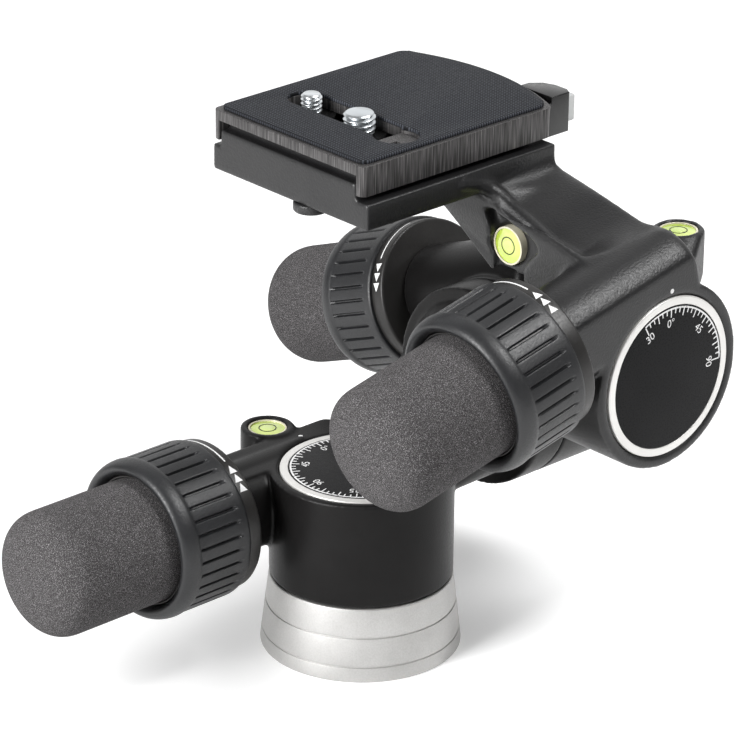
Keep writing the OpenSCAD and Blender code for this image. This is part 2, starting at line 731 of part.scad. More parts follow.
// Top knob and collar
module top_worm() color(steel) top_frame() worm();
module top_worm_shaft() color(steel) top_frame() worm_shaft();
module top_knob_core() color(core_black) top_frame() knob_core();
module top_foam_grip() color(foam_grey) top_frame() foam_grip();
module top_collar() color(core_black) top_frame() collar();
module top_collar_grip() color(rubber_black) top_frame() collar_grip();

// Platform fittings
module platform_screw() {
    color(black) translate([foot_screw_x, foot_screw_y, platform_z]) {
        cylinder(r = foot_screw_stem, h = platform_t / 2 - seat_gap);
        translate([0, 0, -foot_screw_h - seat_gap]) cylinder(r = foot_screw_r, h = foot_screw_h);
        translate([0, 0, -2 * seat_gap]) cylinder(r = foot_screw_stem, h = 3 * seat_gap);
    }
}
module lever_pin() {
    color(silver) translate([lever_x, lever_y, lever_pin_z + seat_gap])
        cylinder(r = lever_pin_r, h = lever_top_z - lever_pin_z - seat_gap);
}
module catch_block(grow, reach) {
    low_z = lever_z + (thumb_h - catch_h) / 2;
    translate([lever_tip_x - catch_in - reach, lever_tip_y + catch_y - grow, low_z - grow])
        cube([catch_in + catch_out + reach, catch_l + 2 * grow, catch_h + 2 * grow]);
}
module clamp_lever() {
    color("#101012") difference() {
        union() {
            translate([lever_x, lever_y, lever_z]) cylinder(r = lever_hub_r, h = lever_h);
            translate([0, 0, lever_z]) linear_extrude(lever_h) polygon(lever_outline);
            translate([0, 0, lever_z]) linear_extrude(thumb_h) polygon(thumb_outline);
        }
        translate([lever_x, lever_y, lever_z - over])
            cylinder(r = lever_pin_r + run_gap, h = lever_h + 2 * over);
        catch_block(turn_gap, catch_room);
    }
}
module lever_catch() color("#cfd1d2") catch_block(0, 0);

// Camera plate with its pad and screws
module plate_outline(inset) {
    intersection() {
        translate([plate_x0 + inset, plate_y0 + inset])
            square([plate_l + plate_bulge - 2 * inset, plate_w - 2 * inset]);
        translate([plate_x1 + plate_bulge - bulge_r, plate_y]) circle(r = bulge_r - inset, $fn = 240);
    }
}
module slot_outline() {
    translate([slot_x - slot_w / 2, slot_y0 - eps]) square([slot_w, slot_y1 - slot_y0 - slot_w / 2]);
    translate([slot_x, slot_y1 - slot_w / 2]) circle(d = slot_w);
}
module camera_plate() {
    stud_hole_l = 4;
    stud_hole_w = 1.8;
    color("#1a1a1b") difference() {
        union() {
            translate([0, 0, plate_bottom_z]) linear_extrude(plate_t) plate_outline(0);
            for (y = [plate_y0, plate_y1 - lip_t]) translate([plate_x0, y, lip_bottom_z])
                cube([plate_l, lip_t, lip_h - plate_t + eps]);
        }
        translate([0, 0, plate_bottom_z - over]) linear_extrude(plate_t + 2 * over) slot_outline();
        translate([stud_x, stud_y, plate_top_z - stud_recess]) cylinder(r = stud_r, h = plate_t);
        translate([stud_x - stud_hole_l, stud_y - stud_hole_w, plate_bottom_z - over])
            cube([stud_hole_l, stud_hole_w, plate_t + 2 * over]);
    }
}
module plate_pad() {
    color("#2a2a2c") translate([0, 0, plate_top_z]) linear_extrude(pad_t) difference() {
        plate_outline(pad_inset);
        slot_outline();
        translate([stud_x, stud_y]) circle(r = stud_r);
    }
}
module camera_screw(y, d) {
    top = plate_top_z + pad_t + screw_rise;
    head_z = plate_bottom_z - washer_t - head_t - 2 * seat_gap;
    thread_z = head_t + washer_t + 4 * seat_gap;
    translate([slot_x, y, head_z]) {
        cylinder(r = head_r, h = head_t);
        cylinder(d = d - 2 * undercut, h = top - head_z);
        translate([0, 0, thread_z]) cylinder(d = d, h = top - head_z - thread_z);
    }
}
module screw_washer(y, d, r) {
    translate([slot_x, y, plate_bottom_z - washer_t - seat_gap])
        ring(r, d / 2 - undercut + run_gap, washer_t);
}
module small_washer() color(black) screw_washer(small_screw_y, small_thread_d, small_washer_r);
module small_screw() color(silver) camera_screw(small_screw_y, small_thread_d);
module large_washer() color(black) screw_washer(large_screw_y, large_thread_d, large_washer_r);
module large_screw() color(silver) camera_screw(large_screw_y, large_thread_d);

foot();
thread_insert();
pan_spindle();
pan_worm_wheel();
pan_lock_nut();
pan_scale();
pan_scale_ring();
pan_housing();
pan_bush();
pan_worm_bushes();
pan_collar_clip();
pan_level();
side_spindle();
side_worm_wheel();
side_lock_nut();
side_scale();
side_scale_ring();
pan_worm();
pan_worm_shaft();
pan_knob_core();
pan_foam_grip();
pan_collar();
pan_collar_grip();
side_housing();
side_bush();
side_worm_bushes();
side_collar_clip();
top_spindle();
top_worm_wheel();
top_lock_nut();
top_scale();
top_scale_ring();
side_worm();
side_worm_shaft();
side_knob_core();
side_foam_grip();
side_collar();
side_collar_grip();
top_housing();
top_bush();
top_worm_bushes();
top_collar_clip();
neck_level();
top_level();
top_worm();
top_worm_shaft();
top_knob_core();
top_foam_grip();
top_collar();
top_collar_grip();
platform_screw();
lever_pin();
clamp_lever();
lever_catch();
camera_plate();
plate_pad();
small_washer();
small_screw();
large_washer();
large_screw();
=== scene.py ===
# Dressed geared tripod head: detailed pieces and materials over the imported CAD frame.
# The frame is in metres. Sizes here are named in millimetres and scaled by MM.
import json
import math

import bmesh
import bpy
from mathutils import Matrix, Vector


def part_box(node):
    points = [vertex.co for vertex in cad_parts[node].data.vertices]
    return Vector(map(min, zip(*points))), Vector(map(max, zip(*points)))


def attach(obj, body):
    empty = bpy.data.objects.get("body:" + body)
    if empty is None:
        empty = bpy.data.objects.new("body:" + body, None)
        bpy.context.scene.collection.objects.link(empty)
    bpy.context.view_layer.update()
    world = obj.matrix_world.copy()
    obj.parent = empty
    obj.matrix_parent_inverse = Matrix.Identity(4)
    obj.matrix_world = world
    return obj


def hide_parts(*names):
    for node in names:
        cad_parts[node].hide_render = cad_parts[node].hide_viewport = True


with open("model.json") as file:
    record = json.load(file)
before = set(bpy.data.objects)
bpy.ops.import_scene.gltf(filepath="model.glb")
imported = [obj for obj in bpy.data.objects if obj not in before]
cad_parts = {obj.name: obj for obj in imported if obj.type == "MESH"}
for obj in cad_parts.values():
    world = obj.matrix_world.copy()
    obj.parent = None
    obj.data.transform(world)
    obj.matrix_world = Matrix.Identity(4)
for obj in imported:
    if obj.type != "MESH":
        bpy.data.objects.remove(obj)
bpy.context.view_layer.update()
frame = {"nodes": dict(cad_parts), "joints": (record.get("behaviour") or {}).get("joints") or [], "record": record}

MM = 0.001
NODES = frame["nodes"]
JOINTS = {joint["name"]: joint for joint in frame["joints"]}
BODIES = frame["record"]["behaviour"]["bodies"]
BODY_OF = {node: body for body, nodes in BODIES.items() for node in nodes}
DRIVES = ("pan", "side", "top")
TO_METRES = Matrix.Scale(MM, 4)

# Camera fitted to the photograph, in degrees and millimetres, and how far it sees in metres
CAMERA_AZIMUTH = 42.893
CAMERA_ELEVATION = 23.877
CAMERA_DISTANCE = 1223.82
CAMERA_RIGHT = 1.446
CAMERA_HEIGHT = 87.372
CAMERA_ROLL = 0.5995
CAMERA_LENS = 206.6
CAMERA_SENSOR = 36
CAMERA_REACH = 20

# Facets around turned pieces, and the radius under which a ring is one point
TURN_STEPS = 144
ON_AXIS = 1e-6

# Points closer than this are joined: in CAD copies, and in marks and print
COPY_JOIN = 0.002
PRINT_JOIN = 1e-4

# Share of an edge that the rounding of one corner may take
ROUND_SHARE = 0.49

# Softened CAD copies: degrees between flat faces, and how an outer upright edge is known
FLAT_ANGLE = 1
UPRIGHT_SHARE = 0.99
UPRIGHT_REACH = 0.01
UPRIGHT_ANGLE = 45
UPRIGHT_SEGMENTS = 6

# Rounding of castings: voxel size, smoothing passes, share of faces kept and the sharp angle
CAST_VOXEL = 0.55
CAST_PASSES = 9
SOFT_PASSES = 16
SMOOTH_FACTOR = 0.5
CAST_KEPT = 0.3
CAST_SHARP = 60


def node_box(node):
    """Lowest and highest corner of a CAD node in millimetres."""
    low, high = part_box(node)
    return Vector(low) / MM, Vector(high) / MM


def face_of(node, axis):
    """Middle of a CAD node's outer face along a main axis, and the node's depth along it."""
    low, high = node_box(node)
    face = (low + high) / 2
    depth = 0
    for index in range(3):
        if axis[index]:
            face[index] = high[index] if axis[index] > 0 else low[index]
            depth = high[index] - low[index]
    return face, depth


def place(origin, axis, side):
    """Matrix from millimetres in a local frame, Z along axis and X along side, to metres in the scene."""
    z = Vector(axis).normalized()
    x = Vector(side).normalized()
    turn = Matrix((x, z.cross(x), z)).transposed().to_4x4()
    turn.translation = Vector(origin) * MM
    return turn @ TO_METRES


def upright_at(centre):
    """Matrix from millimetres about an upright axis through a point to metres in the scene."""
    return Matrix.Translation((centre.x * MM, centre.y * MM, 0)) @ TO_METRES


# Materials

def nodes_of(name):
    material = bpy.data.materials.new(name)
    material.use_nodes = True
    tree = material.node_tree
    return material, tree, tree.nodes["Principled BSDF"]


def object_noise(tree, scale, detail=2.0, stretch=(1, 1, 1)):
    """Noise over the object's own coordinates, with a stretch for brushed lines."""
    coords = tree.nodes.new("ShaderNodeTexCoord")
    mapping = tree.nodes.new("ShaderNodeMapping")
    mapping.inputs["Scale"].default_value = stretch
    noise = tree.nodes.new("ShaderNodeTexNoise")
    noise.inputs["Scale"].default_value = scale
    noise.inputs["Detail"].default_value = detail
    tree.links.new(coords.outputs["Object"], mapping.inputs["Vector"])
    tree.links.new(mapping.outputs["Vector"], noise.inputs["Vector"])
    return noise.outputs["Fac"]


def ramp(tree, factor, stops):
    node = tree.nodes.new("ShaderNodeValToRGB")
    node.color_ramp.elements[0].position = stops[0][0]
    node.color_ramp.elements[0].color = (*stops[0][1], 1)
    node.color_ramp.elements[1].position = stops[-1][0]
    node.color_ramp.elements[1].color = (*stops[-1][1], 1)
    for position, colour in stops[1:-1]:
        node.color_ramp.elements.new(position).color = (*colour, 1)
    tree.links.new(factor, node.inputs["Fac"])
    return node.outputs["Color"]


def spread(tree, factor, low, high, start=0.3, end=0.7):
    node = tree.nodes.new("ShaderNodeMapRange")
    node.inputs["From Min"].default_value = start
    node.inputs["From Max"].default_value = end
    node.inputs["To Min"].default_value = low
    node.inputs["To Max"].default_value = high
    tree.links.new(factor, node.inputs["Value"])
    return node.outputs["Result"]


def bump(tree, shader, height, depth):
    node = tree.nodes.new("ShaderNodeBump")
    node.inputs["Strength"].default_value = 1.0
    node.inputs["Distance"].default_value = depth * MM
    tree.links.new(height, node.inputs["Height"])
    tree.links.new(node.outputs["Normal"], shader.inputs["Normal"])


# Pointiness at which an edge begins to look worn, and at which it is fully so
WORN_RANGE = (0.52, 0.6)


def grained(name, colours, rough, metallic=0.0, grain=900, depth=0.05, patch=60, stretch=(1, 1, 1),
            specular=0.5, edge=None):
    """A surface with slow colour patches, a fine grain in roughness and bump, and optional worn edges."""
    material, tree, shader = nodes_of(name)
    shader.inputs["Metallic"].default_value = metallic
    shader.inputs["Specular IOR Level"].default_value = specular
    slow = object_noise(tree, patch, 3.0)
    fine = object_noise(tree, grain, 2.0, stretch)
    base = ramp(tree, slow, [(0.3, colours[0]), (0.7, colours[1])])
    if edge:
        geometry = tree.nodes.new("ShaderNodeNewGeometry")
        worn = spread(tree, geometry.outputs["Pointiness"], 0.0, edge[1], *WORN_RANGE)
        mix = tree.nodes.new("ShaderNodeMix")
        mix.data_type = "RGBA"
        mix.inputs["B"].default_value = (*edge[0], 1)
        tree.links.new(worn, mix.inputs["Factor"])
        tree.links.new(base, mix.inputs["A"])
        base = mix.outputs["Result"]
    tree.links.new(base, shader.inputs["Base Color"])
    tree.links.new(spread(tree, fine, *rough), shader.inputs["Roughness"])
    bump(tree, shader, fine, depth)
    return material


def foam_material():
    """Closed-cell foam: dark ground, pale specks and a pitted skin."""
    material, tree, shader = nodes_of("foam_speckled")
    shader.inputs["Specular IOR Level"].default_value = 0.08
    specks = object_noise(tree, 5000, 1.5)
    cells = object_noise(tree, 2600, 1.5)
    tree.links.new(ramp(tree, specks, [(0.34, (0.022, 0.0205, 0.021)), (0.56, (0.066, 0.063, 0.064)),
                                       (0.76, (0.36, 0.348, 0.354))]), shader.inputs["Base Color"])
    tree.links.new(spread(tree, cells, 0.75, 0.95), shader.inputs["Roughness"])
    bump(tree, shader, cells, 0.12)
    return material


# A wave texture repeats every pi / 10 of its scaled length
PAD_PITCH = 0.95
PAD_WAVE = math.pi / 10 / (PAD_PITCH * MM)


def pad_material():
    """Rubber pad with a fine square grid of raised dots."""
    material, tree, shader = nodes_of("pad_grid")
    coords = tree.nodes.new("ShaderNodeTexCoord")
    grid = None
    for direction in ("X", "Y"):
        wave = tree.nodes.new("ShaderNodeTexWave")
        wave.bands_direction = direction
        wave.inputs["Scale"].default_value = PAD_WAVE
        tree.links.new(coords.outputs["Object"], wave.inputs["Vector"])
        if grid is None:
            grid = wave.outputs["Fac"]
        else:
            product = tree.nodes.new("ShaderNodeMath")
            product.operation = "MULTIPLY"
            tree.links.new(grid, product.inputs[0])
            tree.links.new(wave.outputs["Fac"], product.inputs[1])
            grid = product.outputs["Value"]
    tree.links.new(ramp(tree, grid, [(0.1, (0.005, 0.0055, 0.007)), (0.8, (0.062, 0.067, 0.08))]),
                   shader.inputs["Base Color"])
    shader.inputs["Specular IOR Level"].default_value = 0.2
    tree.links.new(spread(tree, object_noise(tree, 1200), 0.6, 0.75), shader.inputs["Roughness"])
    bump(tree, shader, grid, 0.08)
    return material


def brushed_material():
    """Black plate with fine upright lines left by the tool."""
    material, tree, shader = nodes_of("plate_brushed_black")
    shader.inputs["Metallic"].default_value = 0.35
    shader.inputs["Specular IOR Level"].default_value = 0.3
    lines = object_noise(tree, 3400, 2.0, (1, 1, 0.025))
    tree.links.new(ramp(tree, lines, [(0.35, (0.024, 0.023, 0.023)), (0.55, (0.07, 0.067, 0.067)),
                                      (0.72, (0.18, 0.173, 0.173))]), shader.inputs["Base Color"])
    tree.links.new(spread(tree, lines, 0.5, 0.3), shader.inputs["Roughness"])
    bump(tree, shader, lines, 0.05)
    return material


def clear_liquid(name, inner, outer):
    """Bright vial liquid with a slow shift of colour."""
    material, tree, shader = nodes_of(name)
    shader.inputs["Roughness"].default_value = 0.06
    shader.inputs["Coat Weight"].default_value = 1.0
    shader.inputs["Coat Roughness"].default_value = 0.03
    drift = object_noise(tree, 140, 1.0)
    tree.links.new(ramp(tree, drift, [(0.35, inner), (0.65, outer)]), shader.inputs["Base Color"])
    return material


BLACK_EDGE = ((0.09, 0.09, 0.092), 0.5)
powder = grained("powder_black", ((0.009, 0.009, 0.0095), (0.014, 0.0138, 0.0142)), (0.34, 0.46),
                 grain=1500, depth=0.11, specular=0.42, edge=BLACK_EDGE)
satin = grained("satin_black", ((0.0065, 0.0062, 0.0062), (0.01, 0.0095, 0.0095)), (0.28, 0.4),
                grain=1900, depth=0.03, specular=0.12, edge=BLACK_EDGE)
collar_black = grained("collar_satin", ((0.015, 0.0142, 0.0136), (0.024, 0.0225, 0.0215)), (0.32, 0.46),
                       grain=1500, depth=0.03, specular=0.4, edge=BLACK_EDGE)
rubber = grained("grip_rubber", ((0.008, 0.0082, 0.0092), (0.014, 0.0145, 0.016)), (0.36, 0.52),
                 grain=1900, depth=0.05, patch=90, specular=0.5)
foam = foam_material()
foot_blasted = grained("foot_blasted", ((0.5, 0.495, 0.485), (0.59, 0.585, 0.575)), (0.52, 0.68),
                       metallic=1.0, grain=2000, depth=0.05)
foot_turned = grained("foot_turned", ((0.7, 0.7, 0.695), (0.8, 0.8, 0.795)), (0.18, 0.32), metallic=1.0,
                      grain=60, depth=0.004, stretch=(1, 1, 60))
ring_silver = grained("dial_ring_silver", ((0.72, 0.71, 0.69), (0.8, 0.79, 0.77)), (0.38, 0.5), metallic=0.45,
                      grain=2200, depth=0.006)
dial_black = grained("dial_black", ((0.005, 0.005, 0.0055), (0.008, 0.008, 0.0085)), (0.24, 0.34),
                     grain=2000, depth=0.006, specular=0.08)
mark_white = grained("mark_white", ((0.74, 0.74, 0.74), (0.84, 0.84, 0.84)), (0.45, 0.6),
                     grain=2500, depth=0.004)
plate_black = brushed_material()
lever_gloss = grained("lever_gloss", ((0.006, 0.006, 0.006), (0.009, 0.009, 0.009)), (0.16, 0.26),
                      grain=900, depth=0.01, specular=0.5)
catch_grey = grained("catch_grey", ((0.52, 0.53, 0.53), (0.62, 0.63, 0.63)), (0.35, 0.5),
                     grain=1600, depth=0.02)
zinc = grained("zinc_bright", ((0.66, 0.7, 0.73), (0.8, 0.83, 0.85)), (0.3, 0.36), metallic=1.0,
               grain=300, depth=0.0005)
steel = grained("steel_turned", ((0.48, 0.48, 0.49), (0.58, 0.58, 0.59)), (0.25, 0.4), metallic=1.0,
                grain=900, depth=0.01)
bronze = grained("bronze_machined", ((0.55, 0.38, 0.14), (0.66, 0.47, 0.2)), (0.25, 0.4), metallic=1.0,
                 grain=900, depth=0.01)
vial_liquid = clear_liquid("vial_liquid", (0.46, 0.62, 0.05), (0.62, 0.74, 0.16))
vial_bubble = clear_liquid("vial_bubble", (0.5, 0.68, 0.1), (0.64, 0.78, 0.2))
vial_rim = grained("vial_rim", ((0.62, 0.58, 0.42), (0.78, 0.74, 0.6)), (0.1, 0.22), grain=1200, depth=0.006)
line_black = grained("line_black", ((0.012, 0.014, 0.01), (0.02, 0.022, 0.016)), (0.3, 0.45),
                     grain=1500, depth=0.004, specular=0.2)


# Mesh tools

def add_piece(name, mesh, body, materials, sharp=35, stands_for=(), slot=None):
    """Links a mesh as a piece of the object that rides on a body."""
    mesh.name = name
    mesh.materials.clear()
    for material in materials:
        mesh.materials.append(material)
    mesh.shade_smooth()
    mesh.set_sharp_from_angle(angle=math.radians(sharp))
    piece = bpy.data.objects.new(name, mesh)
    bpy.context.scene.collection.objects.link(piece)
    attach(piece, body)
    if stands_for:
        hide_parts(*stands_for)
    return piece


def to_mesh(bm, matrix=TO_METRES):
    mesh = bpy.data.meshes.new("draft")
    bmesh.ops.recalc_face_normals(bm, faces=bm.faces)
    bm.transform(matrix)
    bm.to_mesh(mesh)
    bm.free()
    return mesh


def rounded(points, segments=4):
    """A closed outline of (x, y, radius) points with its corners rounded."""
    outline = []
    for index, (x, y, radius) in enumerate(points):
        here = Vector((x, y))
        before = Vector(points[index - 1][:2]) - here
        after = Vector(points[(index + 1) % len(points)][:2]) - here
        reach = min(radius, ROUND_SHARE * before.length, ROUND_SHARE * after.length)
        if reach == 0:
            outline.append(here)
            continue
        start = here + before.normalized() * reach
        end = here + after.normalized() * reach
        for step in range(segments + 1):
            t = step / segments
            outline.append(start * (1 - t) ** 2 + here * 2 * t * (1 - t) + end * t ** 2)
    return outline


def lathe(bm, outline, steps=TURN_STEPS, shape=None):
    """Turns a closed outline of (radius, height) about Z, in equal steps or at listed angles.
    shape(radius, height, angle) may change the radius."""
    angles = steps if isinstance(steps, list) else [math.tau * step / steps for step in range(steps)]
    steps = len(angles)
    rings = []
    for radius, height in outline:
        if radius < ON_AXIS:
            rings.append([bm.verts.new((0, 0, height))] * steps)
            continue
        ring = []
        for angle in angles:
            r = shape(radius, height, angle) if shape else radius
            ring.append(bm.verts.new((r * math.cos(angle), r * math.sin(angle), height)))
        rings.append(ring)
    for index, ring in enumerate(rings):
        other = rings[(index + 1) % len(rings)]
        for step in range(steps):
            corners = [ring[step], ring[(step + 1) % steps], other[(step + 1) % steps], other[step]]
            corners = list(dict.fromkeys(corners))
            if len(corners) > 2:
                bm.faces.new(corners)


def turned(name, outline, matrix, body, materials, **extras):
    bm = bmesh.new()
    lathe(bm, outline)
    return add_piece(name, to_mesh(bm, matrix), body, materials, **extras)


def skin(bm, rings):
    """Faces between rings of points that follow each other."""
    for ring, other in zip(rings, rings[1:]):
        for index in range(len(ring)):
            after = (index + 1) % len(ring)
            bm.faces.new((ring[index], ring[after], other[after], other[index]))


def slab(bm, corners, low, high):
    """A prism over a flat outline, between two heights."""
    bottom = [bm.verts.new((x, y, low)) for x, y in corners]
    top = [bm.verts.new((x, y, high)) for x, y in corners]
    bm.faces.new(bottom[::-1])
    bm.faces.new(top)
    skin(bm, [bottom, top])


def copy_of(node):
    """A copy of a CAD node's mesh, with doubled points joined."""
    bm = bmesh.new()
    bm.from_mesh(NODES[node].data)
    bmesh.ops.remove_doubles(bm, verts=bm.verts, dist=COPY_JOIN * MM)
    return bm


def is_hard(edge, degrees):
    return len(edge.link_faces) == 2 and edge.calc_face_angle(0) > math.radians(degrees)


def round_edges(bm, edges, width, segments):
    bmesh.ops.bevel(bm, geom=edges, offset=width * MM, offset_type="OFFSET", segments=segments, profile=0.5,
                    affect="EDGES", clamp_overlap=True)


def softened(node, name, materials, width, segments=3, corner=28, upright=0):
    """A copy of a CAD node with its hard edges rounded, and more so its outer upright corners."""
    bm = copy_of(node)
    bmesh.ops.dissolve_limit(bm, angle_limit=math.radians(FLAT_ANGLE), verts=bm.verts, edges=bm.edges)
    if upright:
        low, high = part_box(node)
        posts = []
        for edge in bm.edges:
            span = edge.verts[0].co - edge.verts[1].co
            outside = min(abs(edge.verts[0].co.y - low.y), abs(edge.verts[0].co.y - high.y))
            if abs(span.z) > UPRIGHT_SHARE * span.length and outside < UPRIGHT_REACH * MM:
                if is_hard(edge, UPRIGHT_ANGLE):
                    posts.append(edge)
        round_edges(bm, posts, upright, UPRIGHT_SEGMENTS)
    round_edges(bm, [edge for edge in bm.edges if is_hard(edge, corner)], width, segments)
    return add_piece(name, to_mesh(bm, Matrix()), BODY_OF[node], materials, stands_for=(node,))


def modified(mesh, *modifiers):
    """A mesh after a stack of modifiers, each given as a type and its settings."""
    holder = bpy.data.objects.new("holder", mesh)
    bpy.context.scene.collection.objects.link(holder)
    for kind, settings in modifiers:
        modifier = holder.modifiers.new(kind.lower(), kind)
        for key, value in settings.items():
            setattr(modifier, key, value)
    graph = bpy.context.evaluated_depsgraph_get()
    result = bpy.data.meshes.new_from_object(holder.evaluated_get(graph))
    bpy.data.objects.remove(holder)
    return result


def voxels(bm):
    """One closed skin around all the solids of a mesh."""
    return modified(to_mesh(bm, Matrix()), ("REMESH", {"mode": "VOXEL", "voxel_size": CAST_VOXEL * MM}))


def opened(mesh):
    bm = bmesh.new()
    bm.from_mesh(mesh)
    return bm


def cast(node, name, materials, extra=None, shift=None, soft=None, rails=None):
    """A copy of a CAD housing, with extra forms joined, rounded all over as a casting is.
    In millimetres, shift(point) lowers points first and soft(point) tells where it is smoothed further.
    Rails are joined after that, so that they stay sharper."""
    bm = copy_of(node)
    if shift:
        bm = opened(voxels(bm))
        for vert in bm.verts:
            vert.co.z -= shift(vert.co / MM) * MM
    if extra:
        extra(bm)
    mesh = voxels(bm)
    if soft:
        bm = opened(mesh)
        verts = [vert for vert in bm.verts if soft(vert.co / MM)]
        for step in range(SOFT_PASSES):
            bmesh.ops.smooth_vert(bm, verts=verts, factor=SMOOTH_FACTOR,
                                  use_axis_x=True, use_axis_y=True, use_axis_z=True)
        mesh = to_mesh(bm, Matrix())
    if rails:
        bm = opened(mesh)
        rails(bm)
        mesh = voxels(bm)
    mesh = modified(mesh, ("SMOOTH", {"factor": SMOOTH_FACTOR, "iterations": CAST_PASSES}),
                    ("DECIMATE", {"ratio": CAST_KEPT}))
    return add_piece(name, mesh, BODY_OF[node], materials, sharp=CAST_SHARP, stands_for=(node,))


# Camera, floor and light

def add_camera():
    azimuth = math.radians(CAMERA_AZIMUTH)
    elevation = math.radians(CAMERA_ELEVATION)
    roll = math.radians(CAMERA_ROLL)
    right = Vector((math.cos(azimuth), -math.sin(azimuth), 0))
    level = Vector((math.sin(azimuth), math.cos(azimuth), 0))
    forward = level * math.cos(elevation) - Vector((0, 0, math.sin(elevation)))
    up = right.cross(forward)
    x = right * math.cos(roll) + up * math.sin(roll)
    y = up * math.cos(roll) - right * math.sin(roll)
    data = bpy.data.cameras.new("photo_camera")
    data.lens = CAMERA_LENS
    data.sensor_width = CAMERA_SENSOR
    data.clip_end = CAMERA_REACH
    camera = bpy.data.objects.new("photo_camera", data)
    camera.matrix_world = Matrix((x, y, -forward)).transposed().to_4x4()
    camera.matrix_world.translation = (right * CAMERA_RIGHT + Vector((0, 0, CAMERA_HEIGHT))
                                       - forward * CAMERA_DISTANCE) * MM
    bpy.context.scene.collection.objects.link(camera)
    bpy.context.scene.camera = camera


def seen_directly(tree):
    """1 for camera, glossy and transmission rays, and 0 for the rest."""
    path = tree.nodes.new("ShaderNodeLightPath")
    total = path.outputs["Is Camera Ray"]
    for ray in ("Is Glossy Ray", "Is Transmission Ray"):
        either = tree.nodes.new("ShaderNodeMath")
        either.operation = "MAXIMUM"
        tree.links.new(total, either.inputs[0])
        tree.links.new(path.outputs[ray], either.inputs[1])
        total = either.outputs["Value"]
    return total


# The studio's white sweep stands on this side of the object
SWEEP_SIDE = (0.64, 0.69, 0.34)
SWEEP_STRENGTH = 1.0
ROOM_STRENGTH = 0.15
# The room turns into the sweep between these cosines of the angle from its middle
SWEEP_EDGE = (0.5, 0.85)

# Floor: half its width in metres, its grey, and the glow that keeps it white in view
FLOOR_HALF = 4.0
FLOOR_GREY = 0.86
FLOOR_GLOW = 0.3

# Softboxes, in metres and watts: position, width and height, power
SOFTBOXES = {"overhead_softbox": ((0.34, -0.5, 0.95), (0.4, 0.4), 9),
             "left_softbox": ((-1.0, 0.05, 0.55), (0.45, 0.7), 19)}
SOFTBOX_TARGET = (0.03, 0.0, 0.085)


def add_world():
    """A white sweep behind the object and a darker room elsewhere."""
    world = bpy.data.worlds.new("studio")
    world.use_nodes = True
    bpy.context.scene.world = world
    tree = world.node_tree
    background = tree.nodes["Background"]
    background.inputs["Color"].default_value = (1, 1, 1, 1)
    coords = tree.nodes.new("ShaderNodeTexCoord")
    towards = tree.nodes.new("ShaderNodeVectorMath")
    towards.operation = "DOT_PRODUCT"
    towards.inputs[1].default_value = SWEEP_SIDE
    tree.links.new(coords.outputs["Generated"], towards.inputs[0])
    strength = spread(tree, towards.outputs["Value"], ROOM_STRENGTH, SWEEP_STRENGTH, *SWEEP_EDGE)
    tree.links.new(strength, background.inputs["Strength"])


def add_floor():
    mesh = bpy.data.meshes.new("floor")
    corners = [(x * FLOOR_HALF, y * FLOOR_HALF, 0) for x, y in ((-1, -1), (1, -1), (1, 1), (-1, 1))]
    mesh.from_pydata(corners, [], [(0, 1, 2, 3)])
    material, tree, shader = nodes_of("floor_white")
    shader.inputs["Base Color"].default_value = (FLOOR_GREY, FLOOR_GREY, FLOOR_GREY, 1)
    shader.inputs["Roughness"].default_value = 0.9
    shader.inputs["Specular IOR Level"].default_value = 0.1
    shader.inputs["Emission Color"].default_value = (1, 1, 1, 1)
    glow = spread(tree, seen_directly(tree), 0.0, FLOOR_GLOW, 0.0, 1.0)
    tree.links.new(glow, shader.inputs["Emission Strength"])
    mesh.materials.append(material)
    floor = bpy.data.objects.new("floor", mesh)
    bpy.context.scene.collection.objects.link(floor)


def add_softbox(name, position, size, watts):
    data = bpy.data.lights.new(name, "AREA")
    data.shape = "RECTANGLE"
    data.size = size[0]
    data.size_y = size[1]
    data.energy = watts
    lamp = bpy.data.objects.new(name, data)
    lamp.location = position
    lamp.rotation_euler = (Vector(SOFTBOX_TARGET) - Vector(position)).to_track_quat("-Z", "Y").to_euler()
    bpy.context.scene.collection.objects.link(lamp)


add_camera()
add_world()
add_floor()
for name, settings in SOFTBOXES.items():
    add_softbox(name, *settings)
bpy.context.scene.view_settings.view_transform = "Standard"


# Knobs: foam grip, collar with its marks, and ribbed rubber

KNOB_SIDE = {"pan": (0, 0, 1), "side": (1, 0, 0), "top": (0, -1, 0)}
KNOB_FRAME = {}
for drive in DRIVES:
    joint = JOINTS[drive + "_knob_turn"]
    KNOB_FRAME[drive] = place(Vector(joint["pos_m"]) / MM, joint["axis"], KNOB_SIDE[drive])

# All three knobs have the pan knob's sizes, and it points along minus X
grip_low, grip_high = node_box("pan_collar_grip")
collar_low, collar_high = node_box("pan_collar")
foam_low, foam_high = node_box("pan_foam_grip")
COLLAR_BACK = -collar_high.x
COLLAR_END = -grip_low.x
GRIP_BACK = -grip_high.x
GRIP_R = (grip_high.y - grip_low.y) / 2
MARK_R = (collar_high.y - collar_low.y) / 2
FOAM_START = -foam_high.x
FOAM_END = -foam_low.x
FOAM_R = (foam_high.y - foam_low.y) / 2
GRIP_WALL = 2.18
HUB_R = GRIP_R - GRIP_WALL
MOUTH_GAP = 1
MOUTH_R = FOAM_R + MOUTH_GAP
LIP_LENGTH = 3.4
LIP_BACK = COLLAR_END - LIP_LENGTH

# Ribbed grip: flat ribs with narrow grooves, each with its floor, flare and runs in and out
RIB_DROP = 0.3
RIB_R = GRIP_R - RIB_DROP
RIB_START = GRIP_BACK + 1
RIB_ROWS = 24
GRIP_GROOVES = 36
GROOVE_PITCH = math.tau / GRIP_GROOVES
GROOVE_DEPTH = 0.95
GROOVE_SKIN = 0.9
GROOVE_FLOOR = 0.2
GROOVE_FLARE = 0.6
GROOVE_START = GRIP_BACK + 3
GROOVE_END = COLLAR_END - 6
GROOVE_RUN_IN = 2
GROOVE_RUN_OUT = 1
GROOVE_ROOM = 0.1
